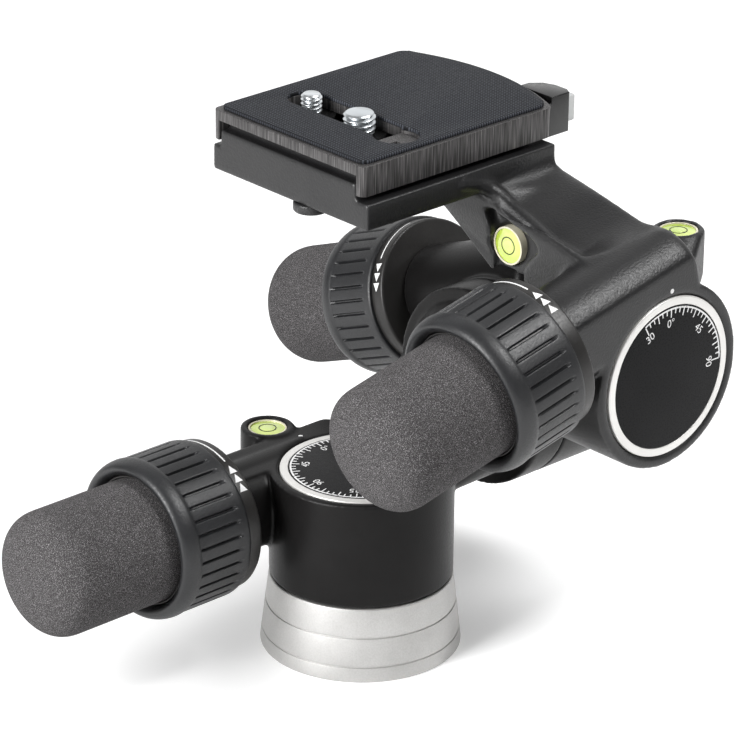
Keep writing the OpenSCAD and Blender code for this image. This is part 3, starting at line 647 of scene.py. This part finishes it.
# Distances from the middle of a groove at which the grip has a row of points
GROOVE_POINTS = (0.0, 0.2, 0.34, 0.46, 0.56, 0.68, 0.95, 1.5)
# Rounded back edge of the ribs, as a drop of the radius and a height
RIB_BACK_EDGE = ((0.8, 0), (0.35, 0.12), (0.1, 0.45))
# Step up from the ribs to the plain lip, as a rise of the radius and a height
LIP_STEP = ((0.1, 0.35), (0.24, 0.75))
LIP_START = GROOVE_END + 1.4
LIP_DEGREES = 10

# Collar and the inner sleeve whose edge shows around the foam
COLLAR_WEB = 3.6
COLLAR_BORE = 12.6
SEAT_ROOM = 0.05
SLEEVE_R = FOAM_R + 0.3
SLEEVE_EDGE_R = FOAM_R + 0.65
SLEEVE_BACK = LIP_BACK - 3
SLEEVE_END = LIP_BACK + 1.2

# Marks on the collar: three triangles and a bar, with lengths along the ring
MARK_ANGLE = {"pan": 320, "side": 206, "top": 67}
MARK_TURN = {"pan": 1, "side": -1, "top": 1}
MARK_MIDDLE = (COLLAR_BACK + GRIP_BACK) / 2 + 0.2
MARK_LIFT = 0.02
MARK_HALF = 1.35
MARK_LENGTH = 2.7
MARK_PITCH = 3.1
MARK_ROWS = 4
BAR_HALF = 0.25
BAR_LENGTH = 17
BAR_ROWS = 24

# Foam: wall over the core, rounded edge at the mouth, straight sleeve and domed end
FOAM_WALL = 4.48
FOAM_EDGE = 0.5
FOAM_ROWS = 8
DOME_LENGTH = 11
DOME_POWER = 2.6
DOME_ROWS = 24


def smooth_step(value, low, high):
    t = min(1, max(0, (value - low) / (high - low)))
    return t * t * (3 - 2 * t)


def grip_shape(radius, height, angle):
    """Cuts the narrow grooves between the flat ribs."""
    if radius < HUB_R + GROOVE_SKIN or height > GROOVE_END + GROOVE_ROOM:
        return radius
    away = abs(angle / GROOVE_PITCH - round(angle / GROOVE_PITCH)) * GROOVE_PITCH * radius
    wall = 1 - smooth_step(away, GROOVE_FLOOR, GROOVE_FLARE)
    run_in = smooth_step(height, GROOVE_START, GROOVE_START + GROOVE_RUN_IN)
    run_out = smooth_step(height, GROOVE_END - GROOVE_RUN_OUT, GROOVE_END)
    return radius - GROOVE_DEPTH * wall * run_in * (1 - run_out)


def grip_angles():
    offsets = [distance / GRIP_R for distance in GROOVE_POINTS]
    offsets = [-offset for offset in reversed(offsets[1:])] + offsets + [GROOVE_PITCH / 2]
    return [GROOVE_PITCH * index + offset for index in range(GRIP_GROOVES) for offset in offsets]


def add_grip(drive):
    outer = [(HUB_R, GRIP_BACK)]
    outer += [(RIB_R - drop, GRIP_BACK + height) for drop, height in RIB_BACK_EDGE]
    for row in range(RIB_ROWS + 1):
        outer.append((RIB_R, RIB_START + (GROOVE_END - RIB_START) * row / RIB_ROWS))
    outer += [(RIB_R + rise, GROOVE_END + height) for rise, height in LIP_STEP]
    lip_mid = (GRIP_R + MOUTH_R) / 2
    lip_half = (GRIP_R - MOUTH_R) / 2
    for degrees in range(0, 181, LIP_DEGREES):
        swing = math.radians(degrees)
        back = LIP_START if degrees <= 90 else LIP_BACK
        outer.append((lip_mid + lip_half * math.cos(swing), back + (COLLAR_END - back) * math.sin(swing)))
    outer.append((HUB_R, LIP_BACK))
    bm = bmesh.new()
    lathe(bm, outer, grip_angles(), shape=grip_shape)
    add_piece(drive + "_ribbed_grip", to_mesh(bm, KNOB_FRAME[drive]), drive + "_collar_ring", [rubber],
              stands_for=(drive + "_collar_grip",))


def add_collar(drive):
    hub_r = HUB_R - SEAT_ROOM
    hub_back = GRIP_BACK - SEAT_ROOM
    web = COLLAR_BACK + COLLAR_WEB
    bm = bmesh.new()
    lathe(bm, rounded([(COLLAR_BORE, COLLAR_BACK, 0.3), (MARK_R, COLLAR_BACK, 0.9), (MARK_R, hub_back, 0.15),
                       (hub_r, hub_back, 0), (hub_r, LIP_BACK, 0.2), (MOUTH_R, LIP_BACK, 0.2),
                       (MOUTH_R, web, 0.4), (COLLAR_BORE, web, 0.3)]))
    # The edge of the inner sleeve shows between the foam and the mouth
    lathe(bm, rounded([(SLEEVE_R, SLEEVE_BACK, 0), (MOUTH_R, SLEEVE_BACK, 0), (MOUTH_R, LIP_BACK, 0),
                       (SLEEVE_EDGE_R, SLEEVE_END, 0.12), (SLEEVE_R, SLEEVE_END, 0.12)], 3))
    mesh = to_mesh(bm, KNOB_FRAME[drive])
    add_piece(drive + "_collar_turned", mesh, drive + "_collar_ring", [collar_black],
              stands_for=(drive + "_collar",))
    add_marks(drive)


def on_ring(height, arc):
    """A point on the marked ring: arc is a length along it."""
    angle = arc / MARK_R
    r = MARK_R + MARK_LIFT
    return (r * math.cos(angle), r * math.sin(angle), height)


def ring_strip(bm, places):
    """A printed strip on the marked ring, through places given as an arc and half a width."""
    edges = []
    for arc, half in places:
        edges.append((bm.verts.new(on_ring(MARK_MIDDLE - half, arc)),
                      bm.verts.new(on_ring(MARK_MIDDLE + half, arc))))
    for (a, b), (c, d) in zip(edges, edges[1:]):
        bm.faces.new((a, b, d, c))


def add_marks(drive):
    """Three triangles that point round the ring, and a fine bar ahead of them."""
    bm = bmesh.new()
    turn = MARK_TURN[drive]
    middle_arc = math.radians(MARK_ANGLE[drive]) * MARK_R
    for index in (-1, 0, 1):
        foot_arc = middle_arc + turn * (index * MARK_PITCH - MARK_LENGTH / 2)
        shares = [row / MARK_ROWS for row in range(MARK_ROWS + 1)]
        ring_strip(bm, [(foot_arc + turn * MARK_LENGTH * share, MARK_HALF * (1 - share)) for share in shares])
    bar_start = middle_arc + 2 * MARK_PITCH
    ring_strip(bm, [(bar_start + BAR_LENGTH * row / BAR_ROWS, BAR_HALF) for row in range(BAR_ROWS + 1)])
    bmesh.ops.remove_doubles(bm, verts=bm.verts, dist=PRINT_JOIN)
    add_piece(drive + "_collar_marks", to_mesh(bm, KNOB_FRAME[drive]), drive + "_collar_ring", [mark_white],
              slot="collar_plastic")


def add_foam(drive):
    core_r = FOAM_R - FOAM_WALL
    core_end = FOAM_END - FOAM_WALL
    mouth = FOAM_START + FOAM_EDGE
    straight = FOAM_END - DOME_LENGTH
    outline = [(core_r, FOAM_START), (FOAM_R - FOAM_EDGE, FOAM_START), (FOAM_R, mouth)]
    for row in range(1, FOAM_ROWS + 1):
        outline.append((FOAM_R, mouth + (straight - mouth) * row / FOAM_ROWS))
    for row in range(1, DOME_ROWS + 1):
        rise = math.sin(math.pi / 2 * row / DOME_ROWS)
        radius = FOAM_R * max(0, 1 - rise ** DOME_POWER) ** (1 / DOME_POWER)
        outline.append((radius, straight + DOME_LENGTH * rise))
    outline += [(0, core_end), (core_r, core_end)]
    piece = turned(drive + "_foam_sleeve", outline, KNOB_FRAME[drive], drive + "_knob", [foam],
                   stands_for=(drive + "_foam_grip",))


for drive in DRIVES:
    add_grip(drive)
    add_collar(drive)
    add_foam(drive)


# Dials: black disc, bright ring, ticks, numbers and the index dot

# Each dial's outward axis and the direction of its X, and how its degrees run
DIAL_FACE = {"pan": ((0, 0, 1), (1, 0, 0)), "side": ((1, 0, 0), (0, 1, 0)), "top": ((0, -1, 0), (1, 0, 0))}
DIAL_ZERO = {"pan": 88, "side": 90, "top": 90}
DIAL_TURN = {"pan": 1, "side": -1, "top": -1}
DIAL_SPAN = {"pan": (0, 355), "side": (-30, 90), "top": (-30, 90)}
DIAL_NUMBERS = {"pan": range(0, 360, 45), "side": (-30, 0, 45, 90), "top": (-30, 0, 45, 90)}
scale_low, scale_high = node_box("pan_scale")
ring_low, ring_high = node_box("pan_scale_ring")
DISC_R = (scale_high.x - scale_low.x) / 2
RING_R = (ring_high.x - ring_low.x) / 2
RING_BORE = DISC_R + 0.02
SCALE_T = scale_high.z - scale_low.z
TICK_STEP = 5
TICK_LONG_STEP = 15
TICK_SHORT = 1.3
TICK_LONG = 2.3
TICK_LAST = 3.0
TICK_R = DISC_R - 1.0
TICK_LINE = 0.5
TICK_WIDTH = 0.4
NUMBER_R = DISC_R - 5.2
NUMBER_SIZE = 3.4
PRINT_LIFT = 0.03
# Index dots: their distance from the dial's middle and their place in degrees
INDEX_DOTS = {"pan": (27.8, 88.5), "side": (27.2, 90), "top": (26.5, 90)}
DOT_R = 0.75
DOT_DEPTH = 0.4
DOT_LIFT = 0.04


def dial_frame(drive):
    axis, side = DIAL_FACE[drive]
    return place(face_of(drive + "_scale", axis)[0], axis, side)


def number_mesh(text):
    curve = bpy.data.curves.new("number", "FONT")
    curve.body = text
    curve.size = NUMBER_SIZE
    curve.align_x = "CENTER"
    curve.align_y = "CENTER"
    holder = bpy.data.objects.new("number", curve)
    bpy.context.scene.collection.objects.link(holder)
    graph = bpy.context.evaluated_depsgraph_get()
    mesh = bpy.data.meshes.new_from_object(holder.evaluated_get(graph))
    bpy.data.objects.remove(holder)
    return mesh


def add_dial_marks(drive, body):
    bm = bmesh.new()
    first, last = DIAL_SPAN[drive]
    zero = DIAL_ZERO[drive]
    turn = DIAL_TURN[drive]
    part_circle = last - first < 180

    def at(radius, degrees):
        angle = math.radians(zero + turn * degrees)
        return (radius * math.cos(angle), radius * math.sin(angle))

    for degrees in range(first, last + 1, TICK_STEP):
        length = TICK_LONG if degrees % TICK_LONG_STEP == 0 else TICK_SHORT
        if part_circle and degrees in (first, last):
            length = TICK_LAST
        half = math.degrees(TICK_WIDTH / 2 / TICK_R)
        slab(bm, [at(TICK_R - length, degrees - half), at(TICK_R, degrees - half),
                  at(TICK_R, degrees + half), at(TICK_R - length, degrees + half)], 0, PRINT_LIFT)
    end = last if part_circle else first + 360
    for degrees in range(first, end):
        slab(bm, [at(TICK_R, degrees), at(TICK_R + TICK_LINE, degrees),
                  at(TICK_R + TICK_LINE, degrees + 1), at(TICK_R, degrees + 1)], 0, PRINT_LIFT)
    bmesh.ops.remove_doubles(bm, verts=bm.verts, dist=PRINT_JOIN)
    for degrees in DIAL_NUMBERS[drive]:
        mesh = number_mesh("%d" % abs(degrees) if degrees else "0\u00b0")
        x, y = at(NUMBER_R, degrees)
        tilt = math.radians(zero + turn * degrees - 90)
        mesh.transform(Matrix.Translation((x, y, PRINT_LIFT)) @ Matrix.Rotation(tilt, 4, "Z"))
        bm.from_mesh(mesh)
        bpy.data.meshes.remove(mesh)
    add_piece(drive + "_scale_print", to_mesh(bm, dial_frame(drive)), body, [mark_white], slot="scale_black")


def add_dial(drive):
    matrix = dial_frame(drive)
    body = BODY_OF[drive + "_scale"]
    disc = rounded([(0, 0, 0), (DISC_R, 0, 0.25), (DISC_R, -SCALE_T, 0), (0, -SCALE_T, 0)])
    ring = rounded([(RING_BORE, 0, 0.2), (RING_R, 0, 0.45), (RING_R, -SCALE_T, 0.1),
                    (RING_BORE, -SCALE_T, 0.1)])
    turned(drive + "_dial_disc", disc, matrix, body, [dial_black], stands_for=(drive + "_scale",))
    turned(drive + "_dial_ring", ring, matrix, body, [ring_silver], stands_for=(drive + "_scale_ring",))
    add_dial_marks(drive, body)


def add_index_dot(drive):
    radius, degrees = INDEX_DOTS[drive]
    angle = math.radians(degrees)
    spot = Matrix.Translation((radius * math.cos(angle), radius * math.sin(angle), 0))
    dot = rounded([(0, -DOT_DEPTH, 0), (DOT_R, -DOT_DEPTH, 0), (DOT_R, DOT_LIFT, 0.15), (0, DOT_LIFT, 0)])
    turned(drive + "_index_dot", dot, dial_frame(drive) @ spot, drive + "_body", [mark_white],
           slot="collar_plastic")


for drive in DRIVES:
    add_dial(drive)
for drive in DRIVES:
    add_index_dot(drive)


# Bubble levels

# Each level's outward axis and the direction of its X
LEVELS = {"pan_level": ((0, 0, 1), (1, 0, 0)), "neck_level": ((-1, 0, 0), (0, 1, 0)),
          "top_level": ((0, 0, 1), (1, 0, 0))}
# Heights are from the outer face of the level
VIAL_RIM = 0.6
VIAL_TOP = -0.02
VIAL_FLOOR = -0.5
LIQUID_LOW = -0.48
LIQUID_EDGE = -0.42
LIQUID_RISE = 0.3
LIQUID_ROWS = 8
LIQUID_TOP = LIQUID_EDGE + LIQUID_RISE
# Printed line and bubble: their share of the radius, and how they stand in the liquid
PRINT_LOW = -0.3
LINE_SHARE = 0.44
LINE_HALF = 0.16
LINE_TOP = LIQUID_TOP - 0.01
LINE_DROP = 0.01
BUBBLE_SHARE = 0.72
BUBBLE_TOP = LIQUID_TOP + 0.05
BUBBLE_DROP = 0.06


def add_level(node, axis, side):
    low, high = node_box(node)
    radius = sorted(high - low)[1] / 2
    face, depth = face_of(node, axis)
    matrix = place(face, axis, side)
    body = BODY_OF[node]
    inner = radius - VIAL_RIM
    rim = rounded([(0, -depth, 0), (radius, -depth, 0.2), (radius, VIAL_TOP, 0.15), (inner, VIAL_TOP, 0.15),
                   (inner, VIAL_FLOOR, 0), (0, VIAL_FLOOR, 0)])
    turned(node + "_rim", rim, matrix, body, [vial_rim], stands_for=(node,))
    liquid = [(0, LIQUID_LOW), (inner, LIQUID_LOW)]
    for row in range(LIQUID_ROWS + 1):
        share = row / LIQUID_ROWS
        liquid.append((inner * (1 - share), LIQUID_EDGE + LIQUID_RISE * math.sin(share * math.pi / 2)))
    turned(node + "_liquid", liquid, matrix, body, [vial_liquid], slot="vial")
    line_r = radius * LINE_SHARE
    line_in = line_r - LINE_HALF
    line_out = line_r + LINE_HALF
    line = rounded([(line_in, PRINT_LOW, 0), (line_out, PRINT_LOW, 0), (line_out, LINE_TOP - LINE_DROP, 0.03),
                    (line_in, LINE_TOP, 0.03)])
    turned(node + "_line", line, matrix, body, [line_black], slot="vial")
    bubble_r = line_r * BUBBLE_SHARE
    bubble = rounded([(0, PRINT_LOW, 0), (bubble_r, PRINT_LOW, 0), (bubble_r, BUBBLE_TOP - BUBBLE_DROP, 0.1),
                      (0, BUBBLE_TOP, 0)])
    turned(node + "_bubble", bubble, matrix, body, [vial_bubble], slot="vial")


for node, directions in LEVELS.items():
    add_level(node, *directions)


# Castings

# Boss around a level: its rim above the level, its room for it, its height, and the radius of each
BOSS_RIM = 0.6
BOSS_ROOM = 0.05
BOSS_HEIGHT = 10
PAN_BOSS_R = 8.1
TOP_BOSS_R = 7.2


def level_boss(bm, node, radius):
    """A wide round boss whose rim stands a little above its level."""
    low, high = node_box(node)
    centre = (low + high) / 2
    inner = (high.x - low.x) / 2 + BOSS_ROOM
    top = high.z + BOSS_RIM
    bottom = top - BOSS_HEIGHT
    boss = bmesh.new()
    lathe(boss, [(inner, bottom), (radius, bottom), (radius, top), (inner, top)])
    bm.from_mesh(to_mesh(boss, upright_at(centre)))


def pan_forms(bm):
    level_boss(bm, "pan_level", PAN_BOSS_R)


cast("pan_housing", "pan_housing_cast", [satin], extra=pan_forms)
cast("side_housing", "side_housing_cast", [satin])


def capsules(bm, path, radius):
    """Joined round rods along a path, for the rails of a casting."""
    for start, end in zip(path, path[1:]):
        a, b = Vector(start), Vector(end)
        along = (b - a).normalized()
        turn = along.to_track_quat("Z", "Y").to_matrix().to_4x4()
        rod = bmesh.ops.create_icosphere(bm, subdivisions=3, radius=radius * MM)["verts"]
        for vert in rod:
            shift = b if vert.co.z > 0 else a
            vert.co = turn @ vert.co + shift * MM


def loft(bm, sections):
    """A closed solid through sections of equal length."""
    rings = [[bm.verts.new(Vector(point) * MM) for point in section] for section in sections]
    skin(bm, rings)
    bm.faces.new(rings[0])
    bm.faces.new(rings[-1])


# Rail from the platform's front face, round the corner and down the neck
RAIL_R = 2.5
RAIL_PATH = [(25, -13.2, 142.2), (31.2, -13.4, 140.4), (35.6, -14.6, 138), (37.2, -17.5, 136),
             (37.5, -21, 133.8), (37.5, -29.2, 131), (37.5, -37, 127.9), (37.5, -47.5, 125.6),
             (37.5, -52, 125)]
# Height of the slope along its left edge: Y and Z
SLOPE_LEFT = ((-14.5, 138.2), (-18, 136), (-21, 133.9), (-29.2, 130.9), (-37, 127.9), (-47.5, 126.8),
              (-52, 128.6), (-56, 130.2), (-60, 131.5))
SLOPE_LEFT_X = 41
# Its right edge is straight: a point on it, and its rise for each millimetre of Y
SLOPE_RIGHT_X = 60
SLOPE_RIGHT_Y = -12.6
SLOPE_RIGHT_Z = 138.7
SLOPE_RIGHT_RISE = 0.107
# Where the neck is lowered to the slope, and where it is smoothed further
FALL_X = 34
FALL_Y = (-60, -14.5)
FALL_Z = 120
SOFT_X = 38
SOFT_Y = (-62, -14.8)
SOFT_Z = (123, 143)
# The slope runs into the platform's front with a hollow that widens to the right: X and radius
HOLLOW = ((38, 1.5), (41, 2.6), (46, 4.4), (52, 6), (57, 7), (62.1, 7.4))
HOLLOW_FRONT_Y = -14.4
HOLLOW_FLOOR_Z = 138.2
HOLLOW_SLOPE = 0.262
HOLLOW_BEHIND = 1
HOLLOW_UNDER = 4
HOLLOW_DEGREES = 10


def hollow_section(x, radius):
    """The hollow's filled corner at one X, round on its outer side."""
    back_y = HOLLOW_FRONT_Y + HOLLOW_BEHIND
    bottom_z = HOLLOW_FLOOR_Z - HOLLOW_UNDER
    middle_y = HOLLOW_FRONT_Y - radius
    middle_z = HOLLOW_FLOOR_Z - HOLLOW_SLOPE * radius + radius
    section = [(x, back_y, bottom_z), (x, back_y, middle_z)]
    for degrees in range(0, 91, HOLLOW_DEGREES):
        swing = math.radians(degrees)
        section.append((x, middle_y + radius * math.cos(swing), middle_z - radius * math.sin(swing)))
    section.append((x, middle_y, bottom_z))
    return section


def neck_forms(bm):
    loft(bm, [hollow_section(*entry) for entry in HOLLOW])
    level_boss(bm, "top_level", TOP_BOSS_R)


def neck_rails(bm):
    capsules(bm, RAIL_PATH, RAIL_R)


def between(table, value):
    """Reads a height from a table of falling places."""
    for (spot, height), (next_spot, next_height) in zip(table, table[1:]):
        if value >= next_spot:
            return height + (next_height - height) * (spot - value) / (spot - next_spot)
    return table[-1][1]


def neck_fall(point):
    """How far the slope lies under the CAD's, because it falls to the rail on its left."""
    if point.x < FALL_X or point.z < FALL_Z or not FALL_Y[0] < point.y < FALL_Y[1]:
        return 0
    left = between(SLOPE_LEFT, point.y)
    right = SLOPE_RIGHT_Z + SLOPE_RIGHT_RISE * (point.y - SLOPE_RIGHT_Y)
    share = min(1, max(0, (point.x - SLOPE_LEFT_X) / (SLOPE_RIGHT_X - SLOPE_LEFT_X)))
    return max(0, point.z - left - (right - left) * share)


def neck_soft(point):
    return point.x > SOFT_X and SOFT_Y[0] < point.y < SOFT_Y[1] and SOFT_Z[0] < point.z < SOFT_Z[1]


cast("top_housing", "top_housing_cast", [powder], extra=neck_forms, shift=neck_fall, soft=neck_soft,
     rails=neck_rails)


# Foot: turned metal with two grooves and a shinier lower band

FOOT_TOP_R = 27.3
FOOT_BORE = 8.0
FOOT_SEAT = 8.02
FOOT_ROOM = 0.02
FOOT_GROOVES = (4.5, 13.5)
FOOT_GROOVE_WIDTH = 0.6
FOOT_GROOVE_DEPTH = 0.35
FOOT_GROOVE_EDGE = 0.1
# Faces this close to a groove's middle are as bright as the groove
FOOT_GROOVE_REACH = 0.6


def add_foot():
    low, high = node_box("foot")
    base_r = (high.x - low.x) / 2
    top = high.z
    insert_depth = node_box("thread_insert")[1].z
    spindle_floor = node_box("pan_spindle")[0].z

    def side(z):
        return base_r + (FOOT_TOP_R - base_r) * z / top

    outline = [(FOOT_BORE, 0, 0.3), (base_r - FOOT_ROOM, 0, 0.9)]
    for start in FOOT_GROOVES:
        end = start + FOOT_GROOVE_WIDTH
        floor_r = side(start) - FOOT_GROOVE_DEPTH
        outline += [(side(start), start, 0.3), (floor_r, start + FOOT_GROOVE_EDGE, 0.1),
                    (floor_r, end - FOOT_GROOVE_EDGE, 0.1), (side(end), end, 0.3)]
    outline += [(FOOT_TOP_R, top, 0.6), (FOOT_SEAT, top, 0.2), (FOOT_SEAT, spindle_floor, 0),
                (0, spindle_floor, 0), (0, insert_depth, 0), (FOOT_BORE, insert_depth, 0)]
    bm = bmesh.new()
    lathe(bm, rounded(outline))
    for face in bm.faces:
        z = face.calc_center_median().z
        in_groove = any(abs(z - start - FOOT_GROOVE_WIDTH / 2) < FOOT_GROOVE_REACH for start in FOOT_GROOVES)
        face.material_index = 1 if z < FOOT_GROOVES[0] or in_groove else 0
    add_piece("foot_turned", to_mesh(bm), "base", [foot_blasted, foot_turned], stands_for=("foot",))


add_foot()


# Plate, pad, lever and small fittings

softened("camera_plate", "camera_plate_machined", [plate_black], width=0.4, upright=2.2)
softened("plate_pad", "plate_pad_grid", [pad_material()], width=0.5, upright=3.5)
softened("clamp_lever", "clamp_lever_moulded", [lever_gloss], width=0.9)
softened("lever_catch", "lever_catch_moulded", [catch_grey], width=0.7)
softened("platform_screw", "platform_screw_turned", [powder], width=0.6)


INCH = 25.4
# Camera screws: radius of the thread and turns for each inch
SCREWS = {"small_screw": (3.175, 20), "large_screw": (4.7625, 16)}
SCREW_HEAD_T = 2.4
SCREW_STEPS = 72
SCREW_SHARP = 75
# Thread: its start under the pad, its depth as a share of the pitch, the flanks and the cut ends
THREAD_UNDER_PAD = 2.9
THREAD_DEPTH = 0.55
THREAD_ROWS = 18
THREAD_ROOT = 0.12
THREAD_FLANK = 0.7
THREAD_TIP = 0.8
THREAD_FOOT = 0.5
# The plain core reaches this far into the head and into the thread
CORE_IN_HEAD = 0.2
CORE_IN_THREAD = 0.1


def add_screw(node, thread_r, turns_per_inch):
    """A camera screw with a real thread, on its plain head."""
    low, high = node_box(node)
    centre = (low + high) / 2
    head_r = (high.x - low.x) / 2
    head_top = low.z + SCREW_HEAD_T
    core_low = head_top - CORE_IN_HEAD
    thread_low = node_box("plate_pad")[0].z - THREAD_UNDER_PAD
    core_high = thread_low + CORE_IN_THREAD
    pitch = INCH / turns_per_inch
    depth = THREAD_DEPTH * pitch
    root_r = thread_r - depth
    span = high.z - thread_low
    rows = int(span / pitch * THREAD_ROWS)
    bm = bmesh.new()
    lathe(bm, rounded([(0, low.z, 0), (head_r, low.z, 0.3), (head_r, head_top, 0.3), (0, head_top, 0)]))
    lathe(bm, [(0, core_low), (root_r, core_low), (root_r, core_high), (0, core_high)], SCREW_STEPS)
    rings = []
    for row in range(rows + 1):
        z = thread_low + span * row / rows
        tip_cut = max(0, THREAD_TIP - (high.z - z))
        foot_cut = max(0, THREAD_FOOT - (z - thread_low))
        ring = []
        for step in range(SCREW_STEPS):
            phase = z / pitch - step / SCREW_STEPS
            crest = abs(phase - round(phase)) * 2
            r = root_r + depth * min(1, max(0, (crest - THREAD_ROOT) / THREAD_FLANK))
            r = min(r, thread_r - tip_cut - foot_cut)
            angle = math.tau * step / SCREW_STEPS
            ring.append(bm.verts.new((r * math.cos(angle), r * math.sin(angle), z)))
        rings.append(ring)
    skin(bm, rings)
    bm.faces.new(rings[0][::-1])
    bm.faces.new(rings[-1])
    add_piece(node + "_threaded", to_mesh(bm, upright_at(centre)), BODY_OF[node], [zinc], sharp=SCREW_SHARP,
              stands_for=(node,))


for node, sizes in SCREWS.items():
    add_screw(node, *sizes)

# Hidden and plain pieces keep their CAD form
for node, part in NODES.items():
    if node.endswith(("worm_wheel", "_bush", "_bushes")):
        finish = bronze
    elif node.endswith("knob_core"):
        finish = collar_black
    elif node.endswith("washer"):
        finish = lever_gloss
    else:
        finish = steel
    part.data.materials.clear()
    part.data.materials.append(finish)
